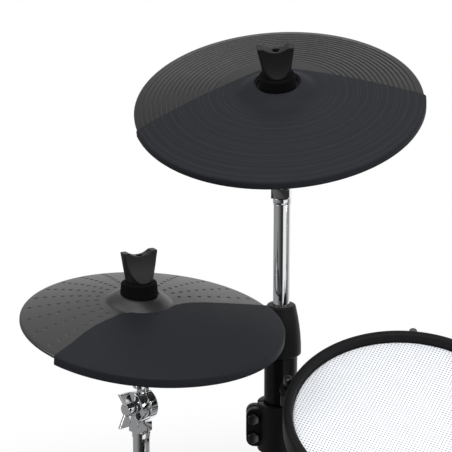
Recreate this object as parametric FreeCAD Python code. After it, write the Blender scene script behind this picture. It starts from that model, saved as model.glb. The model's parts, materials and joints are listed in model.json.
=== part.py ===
import FreeCAD, Part
import math
import os

from FreeCAD import Placement, Rotation, Vector

# Fits, in mm of radial play unless they say otherwise
slide_fit = 0.1
pin_fit = 0.06
seat_fit = 0.1
face_gap = 0.3
contact_relief = 0.03

# Rack tubes and where they stand, the player's side being -Y
post_radius = 20.0
post_wall = 2.0
bar_radius = 19.0
bar_wall = 2.0
front_post_x = 350.0
front_post_y = 90.0
rear_post_x = 480.0
rear_post_y = -290.0
front_collar_z = 770.0
rear_post_top = 680.0
front_bar_z = 560.0
side_bar_z = 470.0

# Rubber feet and end plugs
foot_radius = 32.0
foot_top_radius = 26.0
foot_height = 40.0
foot_sole = 8.0
plug_depth = 25.0
plug_head = 5.0

# Tapered collar on each front post
collar_height = 62.0
collar_bottom_radius = 24.4
collar_waist_radius = 22.7
collar_top_radius = 17.6
collar_overlap = 34.0
collar_top_round = 3.0
collar_bottom_round = 2.0

# Clamps round the tubes
clamp_wall = 8.0
tee_height = 60.0
tee_reach = 75.0
tee_floor = 2.0
ear_reach = 41.5
ear_half_width = 12.0
ear_round = 10.0
ear_setback = 6.0
ear_slit = 2.5
bolt_radius = 4.0
bolt_place = 33.0
bolt_head_radius = 7.5
bolt_head_height = 5.0

# Rod arms of the mesh pads and of the sound module
rod_radius = 8.0
rod_socket_radius = 14.0
rod_socket_reach = 62.0
rod_socket_floor = 6.0
rod_clamp_height = 60.0
stem_drop = 24.0
eye_radius = 11.0
eye_half_length = 8.7
hinge_pin_radius = 4.0
ear_plate = 6.0
ear_plate_half_width = 12.0
pin_head_radius = 7.0
pin_head_height = 4.0

# Mesh pads
hoop_radius = 135.0
hoop_inner_radius = 124.7
hoop_height = 29.0
hoop_round = 4.5
head_drop = 10.4
head_thickness = 1.0
head_skirt_wall = 2.4
head_skirt_height = 13.0
shell_radius = 119.0
shell_wall = 4.0
shell_depth = 42.0
shell_floor = 3.0
rim_above_hinge = 78.0
screw_count = 5
screw_phase = -6.5
screw_circle_radius = 142.0
screw_radius = 2.5
screw_head_radius = 4.6
screw_head_height = 15.0
hoop_tab_half_width = 9.0
hoop_tab_thickness = 7.0
lug_half_width = 9.0
lug_height = 16.0
lug_edge = 6.0
bridge_half_width = 15.0
bridge_thickness = 3.0
bridge_drop = 24.0
foam_base_radius = 20.0
foam_top_radius = 13.0
jack_radius = 7.0
jack_bore_radius = 3.2
jack_reach = 9.0
jack_turn = 30.0

# Chrome cymbal arms
arm_radius = 10.0
arm_wall = 1.6
arm_plug_depth = 20.0
arm_ring_radius = 11.0
arm_ring_height = 7.0
arm_top_below_pivot = 38.0
crash_arm_length = 310.0
ride_arm_length = 310.0
hihat_arm_length = 380.0
hihat_sleeve_radius = 16.0
hihat_sleeve_height = 60.0
hihat_clamp_length = 50.0
hihat_web_half_width = 9.0

# Ratchet tilters
ratchet_radius = 18.5
ratchet_thickness = 12.0
ratchet_gap = 0.3
ratchet_neck_half_width = 8.0
ratchet_clearance = 0.9
tilter_boss_radius = 9.0
tilter_boss_start = 22.0
tilter_bolt_radius = 4.0
ratchet_round = 2.5
bolt_end_wall = 3.0
wing_hub_radius = 7.5
wing_hub_height = 12.0
wing_span = 21.0
wing_root = 6.0
wing_height = 15.0
wing_thickness = 4.0

# Seat of a cymbal pad on its rod
cymbal_rod_radius = 4.0
sleeve_radius = 6.0
cup_radius = 18.0
cup_thickness = 3.0
lower_felt_radius = 17.0
lower_felt_height = 8.0
upper_felt_radius = 21.5
upper_felt_top_radius = 20.5
upper_felt_height = 15.0
felt_slack = 4.0
plate_hole_radius = 7.5
plate_thickness = 3.5
plate_edge_inset = 2.0
bell_rim_width = 2.0
bell_wall = 4.0
bow_bulge = 2.0
zone_thickness = 2.2
zone_edge_chamfer = 1.5
zone_lip_return = 7.0

# Sensor box under a cymbal plate
box_start = 54.0
box_end = 98.0
box_half_width = 24.0
box_bottom = -11.5
box_jack_radius = 5.0
box_jack_reach = 9.0
box_jack_z = -6.0

# Black wing nut
nut_height = 36.0
nut_base_radius = 15.5
nut_top_radius = 21.4
nut_saddle_half_width = 14.0
nut_saddle_dip = 5.0
nut_top_half_depth = 6.25
nut_scoop_radius = 60.0
nut_scoop_foot = 2.0
nut_rod_cover = 22.0

# Kick tower
kick_base_half_width = 140.0
kick_base_front = 150.0
kick_base_back = 130.0
kick_base_thickness = 6.0
kick_tongue_half_width = 60.0
kick_tongue_reach = 60.0
kick_plate_half_width = 95.0
kick_plate_thickness = 5.0
kick_plate_y = 40.0
kick_plate_top = 400.0
kick_center_z = 262.0
kick_gusset_reach = 85.0
kick_gusset_height = 190.0
kick_gusset_thickness = 5.0

# Hi-hat pedal
pedal_x = -330.0
pedal_heel_y = -690.0
pedal_length = 300.0
pedal_half_width = 48.0
pedal_base_thickness = 6.0
pedal_ear_thickness = 6.0
pedal_hinge_z = 22.0
pedal_pin_radius = 3.5
pedal_knuckle_radius = 8.0
board_length = 262.0
board_half_width = 40.0
board_thickness = 7.0
board_slope = 14.0
pedal_block_length = 40.0
pedal_block_height = 26.0

# Sound module
module_half_width = 115.0
module_half_depth = 72.0
module_height = 42.0
module_corner = 10.0
module_wall = 2.5
module_floor = 3.0
module_boss_radius = 4.5
module_boss_x = 102.0
module_boss_y = 59.0
board_peg_radius = 3.0
board_peg_height = 5.0
board_peg_x = 70.0
board_peg_y = 40.0
circuit_half_width = 92.0
circuit_half_depth = 50.0
circuit_thickness = 1.6
module_ear_drop = 24.0
screen_half_width = 62.0
screen_half_depth = 44.0
screen_sink = 1.5
screen_center_x = -38.0
screen_center_y = 6.0
dial_radius = 19.0
dial_height = 15.0
dial_x = 68.0
dial_y = 6.0
dial_spindle_radius = 3.0
dial_spindle_depth = 12.0
dial_boss_radius = 7.0
dial_lift = 0.5
rear_jack_count = 6
rear_jack_pitch = 28.0

# Where each arm and pad is set: turn about the vertical and lean from level, in degrees
crash_setting = dict(radius=167.5, rim_wall=9.9, rim_above_pivot=95.0, rim_offset=0.0,
                     bell_radius=44.0, bell_rise=14.3, bell_top=25.0, seat_radius=24.2, seat_depth=3.0,
                     zone_turn=17.4, zone_slope=26.6, zone_tip=57.0, zone_reach=51.0, zone_on_bell=True,
                     turn=4.3, lean=20.4, rock=0.0, nut_turn=10.7,
                     pivot=Vector(-front_post_x, front_post_y, 994.0), arm_length=crash_arm_length)
hihat_setting = dict(radius=151.2, rim_wall=12.1, rim_above_pivot=110.5, rim_offset=27.0,
                     bell_radius=38.0, bell_rise=15.5, bell_top=25.0, seat_radius=22.2, seat_depth=0.8,
                     zone_turn=-3.45, zone_slope=19.5, zone_tip=0.0, zone_reach=0.0, zone_on_bell=False,
                     turn=57.2, lean=0.0, rock=7.1, nut_turn=-15.0,
                     pivot=Vector(-485.4, -40.4, 738.0), arm_length=hihat_arm_length)
ride_setting = dict(radius=178.0, rim_wall=9.9, rim_above_pivot=95.0, rim_offset=0.0,
                    bell_radius=50.0, bell_rise=15.5, bell_top=27.0, seat_radius=24.2, seat_depth=3.0,
                    zone_turn=-17.4, zone_slope=26.6, zone_tip=63.7, zone_reach=57.0, zone_on_bell=True,
                    turn=-10.0, lean=18.0, rock=0.0, nut_turn=-10.7,
                    pivot=Vector(front_post_x, front_post_y, 985.0), arm_length=ride_arm_length)
pad_settings = dict(
    tom_1=dict(post=Vector(-front_post_x, front_post_y, 0), eye=Vector(-178.0, -42.4, 702.4),
               turn=13.5, lean=22.85, ear_turn=-75.0),
    tom_2=dict(post=Vector(front_post_x, front_post_y, 0), eye=Vector(178.0, -42.4, 702.4),
               turn=-13.5, lean=22.85, ear_turn=75.0),
    tom_3=dict(post=Vector(rear_post_x, rear_post_y, 0), eye=Vector(310.0, -384.0, 640.0),
               turn=-28.0, lean=12.0, ear_turn=60.0),
    snare=dict(post=Vector(-rear_post_x, rear_post_y, 0), eye=Vector(-190.0, -392.0, 616.0),
               turn=20.0, lean=6.0, ear_turn=160.0),
)
module_setting = dict(post=Vector(-rear_post_x, rear_post_y, 0), eye=Vector(-612.0, -383.5, 554.0),
                      turn=35.0, lean=30.0, ear_turn=20.0)

# Values that follow from the ones above
up = Vector(0, 0, 1)
origin = Vector(0, 0, 0)
front_post_top = front_collar_z + collar_overlap
nodes = {}


def add(name, *shapes):
    nodes.setdefault(name, []).extend(shapes)


def rod(radius, start, end):
    return Part.makeCylinder(radius, (end - start).Length, start, end - start)


def ring(outer, inner, low, high):
    wall = Part.makeCylinder(outer, high - low, Vector(0, 0, low))
    return wall.cut(Part.makeCylinder(inner, high - low, Vector(0, 0, low)))


def block(low, high):
    return Part.makeBox(high.x - low.x, high.y - low.y, high.z - low.z, low)


def flat(x, z):
    return Vector(x, 0, z)


def joined(first, *others):
    return first.fuse(list(others)).removeSplitter()


def line(a, b):
    return Part.LineSegment(a, b).toShape()


def arc(a, b, c):
    return Part.Arc(a, b, c).toShape()


def outline(*edges):
    return Part.Face(Part.Wire(Part.__sortEdges__(list(edges))))


def polygon(points):
    return Part.Face(Part.makePolygon(list(points) + [points[0]]))


def turned(face, angle=360.0, start=0.0):
    face = face.copy()
    face.rotate(origin, up, start)
    return face.revolve(origin, up, angle)


def heading(turn):
    return Rotation(up, turn)


def leaning(turn, lean):
    return heading(turn).multiply(Rotation(Vector(1, 0, 0), lean))


def put(shape, where, rotation=Rotation()):
    moved = shape.copy()
    moved.Placement = Placement(where, rotation).multiply(moved.Placement)
    return moved


def level(point, z):
    return Vector(point.x, point.y, z)


def hex_bar(radius, start, end):
    axis = end - start
    corners = [Vector(radius * math.cos(k * math.pi / 3), radius * math.sin(k * math.pi / 3), 0)
               for k in range(6)]
    prism = polygon(corners).extrude(Vector(0, 0, axis.Length))
    return put(prism, start, Rotation(up, axis))


# Rack

def post(where, top):
    tube = ring(post_radius, post_radius - post_wall, foot_sole, top)
    return put(tube, where)


def rubber_foot(where):
    cone = Part.makeCone(foot_radius, foot_top_radius, foot_height)
    return put(cone.cut(Part.makeCylinder(post_radius + seat_fit, foot_height, Vector(0, 0, foot_sole))),
               where)


def end_plug(where):
    inside = Part.makeCylinder(post_radius - post_wall - seat_fit, plug_depth, Vector(0, 0, -plug_depth))
    head = Part.makeCylinder(post_radius, plug_head)
    head = head.makeFillet(plug_head / 2, [e for e in head.Edges if e.CenterOfMass.z > plug_head - 0.1])
    return put(joined(inside, head), level(where, rear_post_top))


def collar(where):
    bore = arm_radius + slide_fit
    sleeve = post_radius + seat_fit
    shoulder = collar_height - collar_top_round
    slant = math.sqrt(0.5)
    bottom_corner = Vector(collar_bottom_radius - collar_bottom_round * (1 - slant), 0,
                           collar_bottom_round * (1 - slant))
    top_corner = Vector(collar_top_radius - collar_top_round * (1 - slant), 0,
                        collar_height - collar_top_round * (1 - slant))
    section = outline(
        line(flat(bore, collar_height), flat(collar_top_radius - collar_top_round, collar_height)),
        arc(flat(collar_top_radius - collar_top_round, collar_height), top_corner,
            flat(collar_top_radius, shoulder)),
        arc(flat(collar_top_radius, shoulder), flat(collar_waist_radius, collar_height / 2),
            flat(collar_bottom_radius, collar_bottom_round)),
        arc(flat(collar_bottom_radius, collar_bottom_round), bottom_corner,
            flat(collar_bottom_radius - collar_bottom_round, 0)),
        line(flat(collar_bottom_radius - collar_bottom_round, 0), flat(sleeve, 0)),
        line(flat(sleeve, 0), flat(sleeve, collar_overlap)),
        line(flat(sleeve, collar_overlap), flat(bore, collar_overlap)),
        line(flat(bore, collar_overlap), flat(bore, collar_height)),
    )
    return put(turned(section), level(where, front_collar_z))


def post_clamp(height, boss_radius, boss_reach, socket_radius, socket_floor, boss_turn, ear_turn, center):
    half = height / 2
    wall = post_radius + clamp_wall
    body = Part.makeCylinder(wall, height, Vector(0, 0, -half))
    boss = Part.makeCylinder(boss_radius, boss_reach, origin, Vector(0, -1, 0))
    boss.rotate(origin, up, boss_turn)
    ear = block(Vector(-ear_half_width, -ear_reach, ear_setback - half),
                Vector(ear_half_width, 0, half - ear_setback))
    ear = ear.makeFillet(ear_round, [e for e in ear.Edges if abs(e.CenterOfMass.y + ear_reach) < 0.1
                                     and abs(e.tangentAt(e.FirstParameter).x) > 0.9])
    slit = block(Vector(-ear_slit / 2, -ear_reach, -half), Vector(ear_slit / 2, 0, half))
    across = Vector(1, 0, 0)
    holes = []
    bolts = []
    for side in (-1, 1):
        middle = Vector(0, -bolt_place, side * (half - ear_setback) / 2)
        holes.append(rod(bolt_radius + seat_fit, middle - across * ear_half_width,
                         middle + across * ear_half_width))
        shank = rod(bolt_radius, middle - across * ear_half_width, middle + across * ear_half_width)
        head = hex_bar(bolt_head_radius, middle + across * ear_half_width,
                       middle + across * (ear_half_width + bolt_head_height))
        nut = hex_bar(bolt_head_radius, middle - across * (ear_half_width + bolt_head_height),
                      middle - across * ear_half_width)
        bolts.append(joined(shank, head, nut))
    for piece in [ear, slit] + holes + bolts:
        piece.Placement = Placement(origin, heading(ear_turn)).multiply(piece.Placement)
    body = joined(body, boss, ear)
    socket = Part.makeCylinder(socket_radius, boss_reach, Vector(0, -(wall + socket_floor), 0), Vector(0,
                                                                                                       -1, 0))
    socket.rotate(origin, up, boss_turn)
    bore = Part.makeCylinder(post_radius + seat_fit, height, Vector(0, 0, -half))
    body = body.cut([bore, socket, slit] + holes)
    return put(body, center), [put(bolt, center) for bolt in bolts]


def turn_towards(start, end):
    return math.degrees(math.atan2(end.x - start.x, -(end.y - start.y)))


def bar_with_clamps(start, end, z):
    along = (level(end, 0) - level(start, 0)).normalize()
    inset = along * (post_radius + clamp_wall + tee_floor)
    first = level(start, z) + inset
    last = level(end, z) - inset
    tube = rod(bar_radius, first, last).cut(rod(bar_radius - bar_wall, first, last))
    add("rack_bars", tube)
    for here, there in ((start, end), (end, start)):
        facing = turn_towards(here, there)
        body, bolts = post_clamp(tee_height, bar_radius + clamp_wall, tee_reach, bar_radius + seat_fit,
                                 tee_floor,
                                 facing, facing + 180, level(here, z))
        add("bar_clamps", body)
        add("clamp_bolts", *bolts)


def hihat_clamp(start, end, arm_axis):
    along = (level(end, 0) - level(start, 0)).normalize()
    reach = level(arm_axis, 0) - level(start, 0)
    foot = level(start, side_bar_z) + along * reach.dot(along)
    axis_point = level(arm_axis, side_bar_z)
    out = (axis_point - foot).normalize()
    half = along * (hihat_clamp_length / 2)
    grip = rod(bar_radius + clamp_wall, foot - half, foot + half)
    sleeve = Part.makeCylinder(hihat_sleeve_radius, hihat_sleeve_height,
                               axis_point - up * (hihat_sleeve_height / 2))
    web_length = (axis_point - foot).Length
    web = block(Vector(0, -hihat_web_half_width, -hihat_sleeve_height / 3),
                Vector(web_length, hihat_web_half_width, hihat_sleeve_height / 3))
    web = put(web, foot, Rotation(Vector(1, 0, 0), out))
    body = joined(grip, web, sleeve)
    bar_hole = rod(bar_radius + seat_fit, foot - half, foot + half)
    arm_hole = Part.makeCylinder(arm_radius + slide_fit, hihat_sleeve_height,
                                 axis_point - up * (hihat_sleeve_height / 2))
    screw_start = axis_point + along * (arm_radius + slide_fit)
    screw_end = axis_point + along * (hihat_sleeve_radius + bolt_head_height)
    screw_hole = rod(bolt_radius + seat_fit, screw_start, screw_end)
    screw_head = hex_bar(bolt_head_radius, screw_end, screw_end + along * bolt_head_height)
    screw = joined(rod(bolt_radius, screw_start + along * seat_fit * 2, screw_end), screw_head)
    add("bar_clamps", body.cut([bar_hole, arm_hole, screw_hole]))
    add("clamp_bolts", screw)


def rack():
    left_front = Vector(-front_post_x, front_post_y, 0)
    right_front = Vector(front_post_x, front_post_y, 0)
    left_rear = Vector(-rear_post_x, rear_post_y, 0)
    right_rear = Vector(rear_post_x, rear_post_y, 0)
    for where in (left_front, right_front):
        add("rack_posts", post(where, front_post_top))
        add("post_collars", collar(where))
    for where in (left_rear, right_rear):
        add("rack_posts", post(where, rear_post_top))
        add("post_plugs", end_plug(where))
    for where in (left_front, right_front, left_rear, right_rear):
        add("rack_feet", rubber_foot(where))
    bar_with_clamps(left_front, right_front, front_bar_z)
    bar_with_clamps(left_front, left_rear, side_bar_z)
    bar_with_clamps(right_front, right_rear, side_bar_z)
    hihat_clamp(left_front, left_rear, hihat_setting["pivot"])


# Rod arm with a tilting eye at its end

def rod_arm(post, eye, turn, ear_turn):
    elbow = level(eye, eye.z - stem_drop)
    center = level(post, elbow.z)
    facing = turn_towards(post, eye)
    clamp, bolts = post_clamp(rod_clamp_height, rod_socket_radius, rod_socket_reach, rod_radius + seat_fit,
                              rod_socket_floor, facing, ear_turn, center)
    along = (elbow - center).normalize()
    start = center + along * (post_radius + clamp_wall + rod_socket_floor)
    across = heading(turn).multVec(Vector(1, 0, 0))
    pin_end = eye_half_length + face_gap + ear_plate
    pin = rod(hinge_pin_radius, eye - across * pin_end, eye + across * pin_end)
    heads = [rod(pin_head_radius, eye + across * side * pin_end,
                 eye + across * side * (pin_end + pin_head_height))
             for side in (-1, 1)]
    arm = joined(rod(rod_radius, start, elbow), Part.makeSphere(rod_radius, elbow),
                 rod(rod_radius, elbow, eye),
                 rod(eye_radius, eye - across * eye_half_length, eye + across * eye_half_length), pin, *heads)
    return clamp, bolts, arm


def hinge_ears(seat_height):
    ears = []
    inner = eye_half_length + face_gap
    for side in (-1, 1):
        near = Vector(side * inner, 0, 0)
        far = Vector(side * (inner + ear_plate), 0, 0)
        web = block(Vector(min(near.x, far.x), -ear_plate_half_width, 0),
                    Vector(max(near.x, far.x), ear_plate_half_width, seat_height))
        ear = joined(web, rod(ear_plate_half_width, near, far))
        ears.append(ear.cut(rod(hinge_pin_radius + pin_fit, near, far)))
    return ears


# Mesh pad, with its tilt hinge at the origin

def around(shape, count):
    return [put(shape, origin, heading(screw_phase + 360.0 * k / count)) for k in range(count)]


def pad_hoop():
    top = rim_above_hinge
    low = top - hoop_height
    slant = math.sqrt(0.5)
    section = outline(
        line(flat(hoop_inner_radius, low), flat(hoop_radius, low)),
        line(flat(hoop_radius, low), flat(hoop_radius, top - hoop_round)),
        arc(flat(hoop_radius, top - hoop_round),
            flat(hoop_radius - hoop_round * (1 - slant), top - hoop_round * (1 - slant)),
            flat(hoop_radius - hoop_round, top)),
        line(flat(hoop_radius - hoop_round, top), flat(hoop_inner_radius + hoop_round, top)),
        arc(flat(hoop_inner_radius + hoop_round, top),
            flat(hoop_inner_radius + hoop_round * (1 - slant), top - hoop_round * (1 - slant)),
            flat(hoop_inner_radius, top - hoop_round)),
        line(flat(hoop_inner_radius, top - hoop_round), flat(hoop_inner_radius, low)),
    )
    tab = block(Vector(-hoop_tab_half_width, hoop_inner_radius + hoop_round, low),
                Vector(hoop_tab_half_width, screw_circle_radius, low + hoop_tab_thickness))
    tab = joined(tab, Part.makeCylinder(hoop_tab_half_width, hoop_tab_thickness, Vector(0,
                                                                                        screw_circle_radius,
                                                                                        low)))
    hole = Part.makeCylinder(screw_radius + seat_fit, hoop_tab_thickness, Vector(0, screw_circle_radius, low))
    body = joined(turned(section), *around(tab, screw_count))
    return body.cut(around(hole, screw_count))


def pad_head():
    top = rim_above_hinge - head_drop
    edge = hoop_inner_radius - face_gap
    disc = Part.makeCylinder(edge, head_thickness, Vector(0, 0, top - head_thickness))
    skirt = ring(edge, edge - head_skirt_wall, top - head_thickness - head_skirt_height, top - head_thickness)
    return joined(disc, skirt)


def pad_shell():
    top = rim_above_hinge - head_drop - head_thickness
    low = top - shell_depth
    wall = ring(shell_radius, shell_radius - shell_wall, low, top)
    floor = Part.makeCylinder(shell_radius - shell_wall, shell_floor, Vector(0, 0, low))
    lug_top = rim_above_hinge - hoop_height - face_gap
    lug = block(Vector(-lug_half_width, shell_radius - shell_wall, lug_top - lug_height),
                Vector(lug_half_width, screw_circle_radius + lug_edge, lug_top))
    lug = lug.makeFillet(lug_edge / 2, [e for e in lug.Edges if e.CenterOfMass.y > screw_circle_radius
                                        and abs(e.tangentAt(e.FirstParameter).z) > 0.9])
    hole = Part.makeCylinder(screw_radius + seat_fit, lug_height, Vector(0, screw_circle_radius,
                                                                         lug_top - lug_height))
    jack_z = low + jack_radius + shell_floor
    jack_out = Vector(math.sin(math.radians(jack_turn)), math.cos(math.radians(jack_turn)), 0)
    jack = rod(jack_radius, jack_out * (shell_radius - shell_wall / 2) + up * jack_z,
               jack_out * (shell_radius + jack_reach) + up * jack_z)
    jack_bore = rod(jack_bore_radius, jack_out * (shell_radius - shell_wall) + up * jack_z,
                    jack_out * (shell_radius + jack_reach) + up * jack_z)
    body = joined(wall, floor, jack, *around(lug, screw_count))
    return body.cut(around(hole, screw_count) + [jack_bore])


def eared_shell(shell):
    return joined(shell, *hinge_ears(rim_above_hinge - head_drop - head_thickness - shell_depth))


def pad_screws():
    low = rim_above_hinge - hoop_height - face_gap - lug_height
    seat = rim_above_hinge - hoop_height + hoop_tab_thickness
    shank = Part.makeCylinder(screw_radius, seat - low, Vector(0, screw_circle_radius, low))
    head_start = Vector(0, screw_circle_radius, seat)
    head = Part.makeCylinder(screw_head_radius, screw_head_height, head_start)
    head = head.makeFillet(screw_head_radius / 3, [e for e in head.Edges
                                                   if e.CenterOfMass.z > seat + screw_head_height - 0.1])
    return around(joined(shank, head), screw_count)


def pad_sensor():
    head_under = rim_above_hinge - head_drop - head_thickness
    bridge_top = head_under - bridge_drop
    inside = shell_radius - shell_wall
    bar = block(Vector(-inside, -bridge_half_width, bridge_top - bridge_thickness),
                Vector(inside, bridge_half_width, bridge_top))
    round_room = Part.makeCylinder(inside - seat_fit, bridge_thickness, up * (bridge_top - bridge_thickness))
    bar = bar.common(round_room)
    foam = Part.makeCone(foam_base_radius, foam_top_radius, bridge_drop, Vector(0, 0, bridge_top))
    return [bar, foam]


plain_shell = pad_shell()
pad_pieces = dict(hoop=pad_hoop(), head=pad_head(), shell=plain_shell, eared_shell=eared_shell(plain_shell),
                  screws=pad_screws(), sensor=pad_sensor())


def mesh_pad(name, setting, apart):
    clamp, bolts, arm = rod_arm(setting["post"], setting["eye"], setting["turn"], setting["ear_turn"])
    place = leaning(setting["turn"], setting["lean"])
    screws = [put(s, setting["eye"], place) for s in pad_pieces["screws"]]
    sensor = [put(s, setting["eye"], place) for s in pad_pieces["sensor"]]
    if apart:
        add(name + "_clamp", clamp, *bolts)
        add(name + "_rod", arm)
        add(name + "_screws", *screws)
        add(name + "_sensor", *sensor)
    else:
        add(name + "_arm", clamp, arm, *bolts)
        add(name + "_hoop", *screws)
        add(name + "_shell", *sensor)
    add(name + "_shell", put(pad_pieces["eared_shell"], setting["eye"], place))
    add(name + "_hoop", put(pad_pieces["hoop"], setting["eye"], place))
    add(name + "_head", put(pad_pieces["head"], setting["eye"], place))


# Cymbal pad, with its tilter's pivot at the origin

def rim_center(setting):
    return heading(setting["zone_turn"]).multVec(Vector(0, -setting["rim_offset"], 0))


def bow(setting, rise):
    base = setting["rim_above_pivot"] + rise
    foot = setting["bell_radius"]
    edge = setting["radius"] - plate_edge_inset
    middle = (foot + edge) / 2
    middle_z = base + setting["bell_rise"] / 2 + bow_bulge
    top = base + setting["bell_rise"]
    if setting["rim_offset"] == 0:
        return turned(outline(
            arc(flat(foot, top), flat(middle, middle_z), flat(edge, base)),
            line(flat(edge, base), flat(0, base)),
            line(flat(0, base), flat(0, top)),
            line(flat(0, top), flat(foot, top)),
        ))
    out = rim_center(setting)
    circles = [Part.makeCircle(foot, up * top), Part.makeCircle(middle, out * 0.5 + up * middle_z),
               Part.makeCircle(edge, out + up * base)]
    return Part.makeLoft([Part.Wire(c) for c in circles], True, True)


def rim_disc(setting, radius, low, high):
    return Part.makeCylinder(radius, high - low, rim_center(setting) + up * low)


def bell_arc(setting, rise):
    base = setting["rim_above_pivot"] + rise
    top_radius = setting["seat_radius"] + bell_rim_width
    middle_radius = (setting["bell_radius"] + 2 * top_radius) / 3
    middle_z = (setting["bell_rise"] + 3 * setting["bell_top"]) / 4
    return arc(flat(setting["bell_radius"], base + setting["bell_rise"]), flat(middle_radius,
                                                                               base + middle_z),
               flat(top_radius, base + setting["bell_top"]))


def seat_z(setting):
    return setting["rim_above_pivot"] + setting["bell_top"] - setting["seat_depth"]


def cymbal_plate(setting):
    edge = setting["radius"] - plate_edge_inset
    base = setting["rim_above_pivot"]
    bell_top = base + setting["bell_top"]
    seat = seat_z(setting)
    under = seat - bell_wall
    foot = setting["bell_radius"]
    foot_z = base + setting["bell_rise"]
    seat_radius = setting["seat_radius"]
    bell = outline(
        bell_arc(setting, 0),
        line(flat(seat_radius + bell_rim_width, bell_top), flat(seat_radius, bell_top)),
        line(flat(seat_radius, bell_top), flat(seat_radius, seat)),
        line(flat(seat_radius, seat), flat(plate_hole_radius, seat)),
        line(flat(plate_hole_radius, seat), flat(plate_hole_radius, under)),
        line(flat(plate_hole_radius, under), flat(seat_radius - bell_rim_width, under)),
        line(flat(seat_radius - bell_rim_width, under), flat(foot, foot_z - plate_thickness)),
        line(flat(foot, foot_z - plate_thickness), flat(foot, foot_z)),
    )
    dish = joined(bow(setting, 0), rim_disc(setting, edge, base - plate_thickness, base))
    opening = Part.makeCylinder(foot, plate_thickness, up * (foot_z - plate_thickness))
    dish = dish.cut([bow(setting, -plate_thickness), opening])
    return joined(dish, turned(bell))


def zone_prism(setting):
    reach = setting["radius"] + setting["rim_offset"]
    slope = math.tan(math.radians(setting["zone_slope"]))
    tip = setting["zone_tip"]
    points = [Vector(0, tip, 0), Vector(-reach, tip - slope * reach, 0), Vector(-reach, -reach, 0),
              Vector(reach, -reach, 0), Vector(reach, tip - slope * reach, 0)]
    prism = polygon(points).extrude(up * (setting["rim_above_pivot"] + reach))
    front = block(Vector(-reach, -reach, 0),
                  Vector(reach, setting["zone_reach"], setting["rim_above_pivot"] + reach))
    return put(prism.common(front), origin, heading(setting["zone_turn"]))


def strike_zone(setting):
    edge = setting["radius"] - plate_edge_inset
    rim = setting["radius"]
    base = setting["rim_above_pivot"]
    top = base + zone_thickness
    low = top - setting["rim_wall"]
    under = base - plate_thickness
    foot = setting["bell_radius"]
    foot_z = base + setting["bell_rise"]
    middle = rim_center(setting)
    skin = joined(bow(setting, zone_thickness),
                  rim_disc(setting, rim, low + zone_edge_chamfer, top - zone_edge_chamfer),
                  Part.makeCone(edge, rim, zone_edge_chamfer, middle + up * low),
                  Part.makeCone(rim, edge, zone_edge_chamfer, middle + up * (top - zone_edge_chamfer)))
    inside = [bow(setting, 0), rim_disc(setting, edge, under, base),
              rim_disc(setting, edge - zone_lip_return, low, under),
              Part.makeCylinder(foot, foot_z + zone_thickness - base, up * base)]
    zone = skin.cut(inside).common(zone_prism(setting))
    if not setting["zone_on_bell"]:
        return zone
    top_radius = setting["seat_radius"] + bell_rim_width
    top_z = base + setting["bell_top"]
    cap = outline(
        bell_arc(setting, 0), bell_arc(setting, zone_thickness),
        line(flat(foot, foot_z), flat(foot, foot_z + zone_thickness)),
        line(flat(top_radius, top_z), flat(top_radius, top_z + zone_thickness)),
    )
    return joined(zone, turned(cap))


def sensor_box(setting):
    edge = setting["radius"] - plate_edge_inset
    base = setting["rim_above_pivot"]
    low = base + box_bottom
    ceiling = -plate_thickness - contact_relief
    room = joined(bow(setting, ceiling), rim_disc(setting, edge, low, base + ceiling))
    case = block(Vector(-box_half_width, box_start, low),
                 Vector(box_half_width, box_end, base + setting["bell_rise"]))
    case = put(case, origin, heading(setting["zone_turn"])).common(room)
    jack_z = base + box_jack_z
    jack_end = Vector(0, box_end + box_jack_reach, jack_z)
    jack = put(rod(box_jack_radius, Vector(0, box_end, jack_z), jack_end), origin,
               heading(setting["zone_turn"]))
    bore = put(rod(jack_bore_radius, Vector(0, box_start + box_half_width, jack_z), jack_end), origin,
               heading(setting["zone_turn"]))
    return joined(case, jack).cut(bore)


def felts(setting):
    seat = seat_z(setting)
    under = seat - bell_wall
    top = seat + upper_felt_height
    low = under - lower_felt_height
    rocked = Rotation(Vector(1, 0, 0), setting["rock"])
    side = 2 * upper_felt_radius
    above = put(block(Vector(-side, -side, 0), Vector(side, side, side)), up * seat, rocked)
    below = put(block(Vector(-side, -side, -side), Vector(side, side, -bell_wall)), up * seat, rocked)
    lower = ring(lower_felt_radius, sleeve_radius, low, under + felt_slack).common(below)
    cone = Part.makeCone(upper_felt_radius, upper_felt_top_radius, upper_felt_height + felt_slack,
                         up * (seat - felt_slack))
    bore = Part.makeCylinder(sleeve_radius, upper_felt_height + felt_slack, up * (seat - felt_slack))
    upper = cone.cut(bore).common(above)
    sleeve = ring(sleeve_radius, cymbal_rod_radius + pin_fit, low, top)
    return [lower, upper, sleeve]


def wing_nut(setting):
    width = 2 * nut_top_radius
    body = Part.makeCone(nut_base_radius, nut_top_radius, nut_height)
    saddle_radius = (nut_saddle_half_width ** 2 + nut_saddle_dip ** 2) / (2 * nut_saddle_dip)
    saddle_z = nut_height - nut_saddle_dip + saddle_radius
    cuts = [Part.makeCylinder(cymbal_rod_radius + pin_fit, nut_height),
            rod(saddle_radius, Vector(0, -width, saddle_z), Vector(0, width, saddle_z))]
    rise = (nut_height - nut_scoop_foot) / 2
    narrowing = (nut_base_radius - nut_top_half_depth) / 2
    half = math.hypot(rise, narrowing)
    out = math.sqrt(nut_scoop_radius ** 2 - half ** 2) / half
    scoop_y = nut_base_radius - narrowing + rise * out
    scoop_z = nut_scoop_foot + rise + narrowing * out
    for side in (-1, 1):
        cuts.append(rod(nut_scoop_radius, Vector(-width, side * scoop_y, scoop_z),
                        Vector(width, side * scoop_y, scoop_z)))
    return put(body.cut(cuts), up * (seat_z(setting) + upper_felt_height), heading(setting["nut_turn"]))


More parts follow.
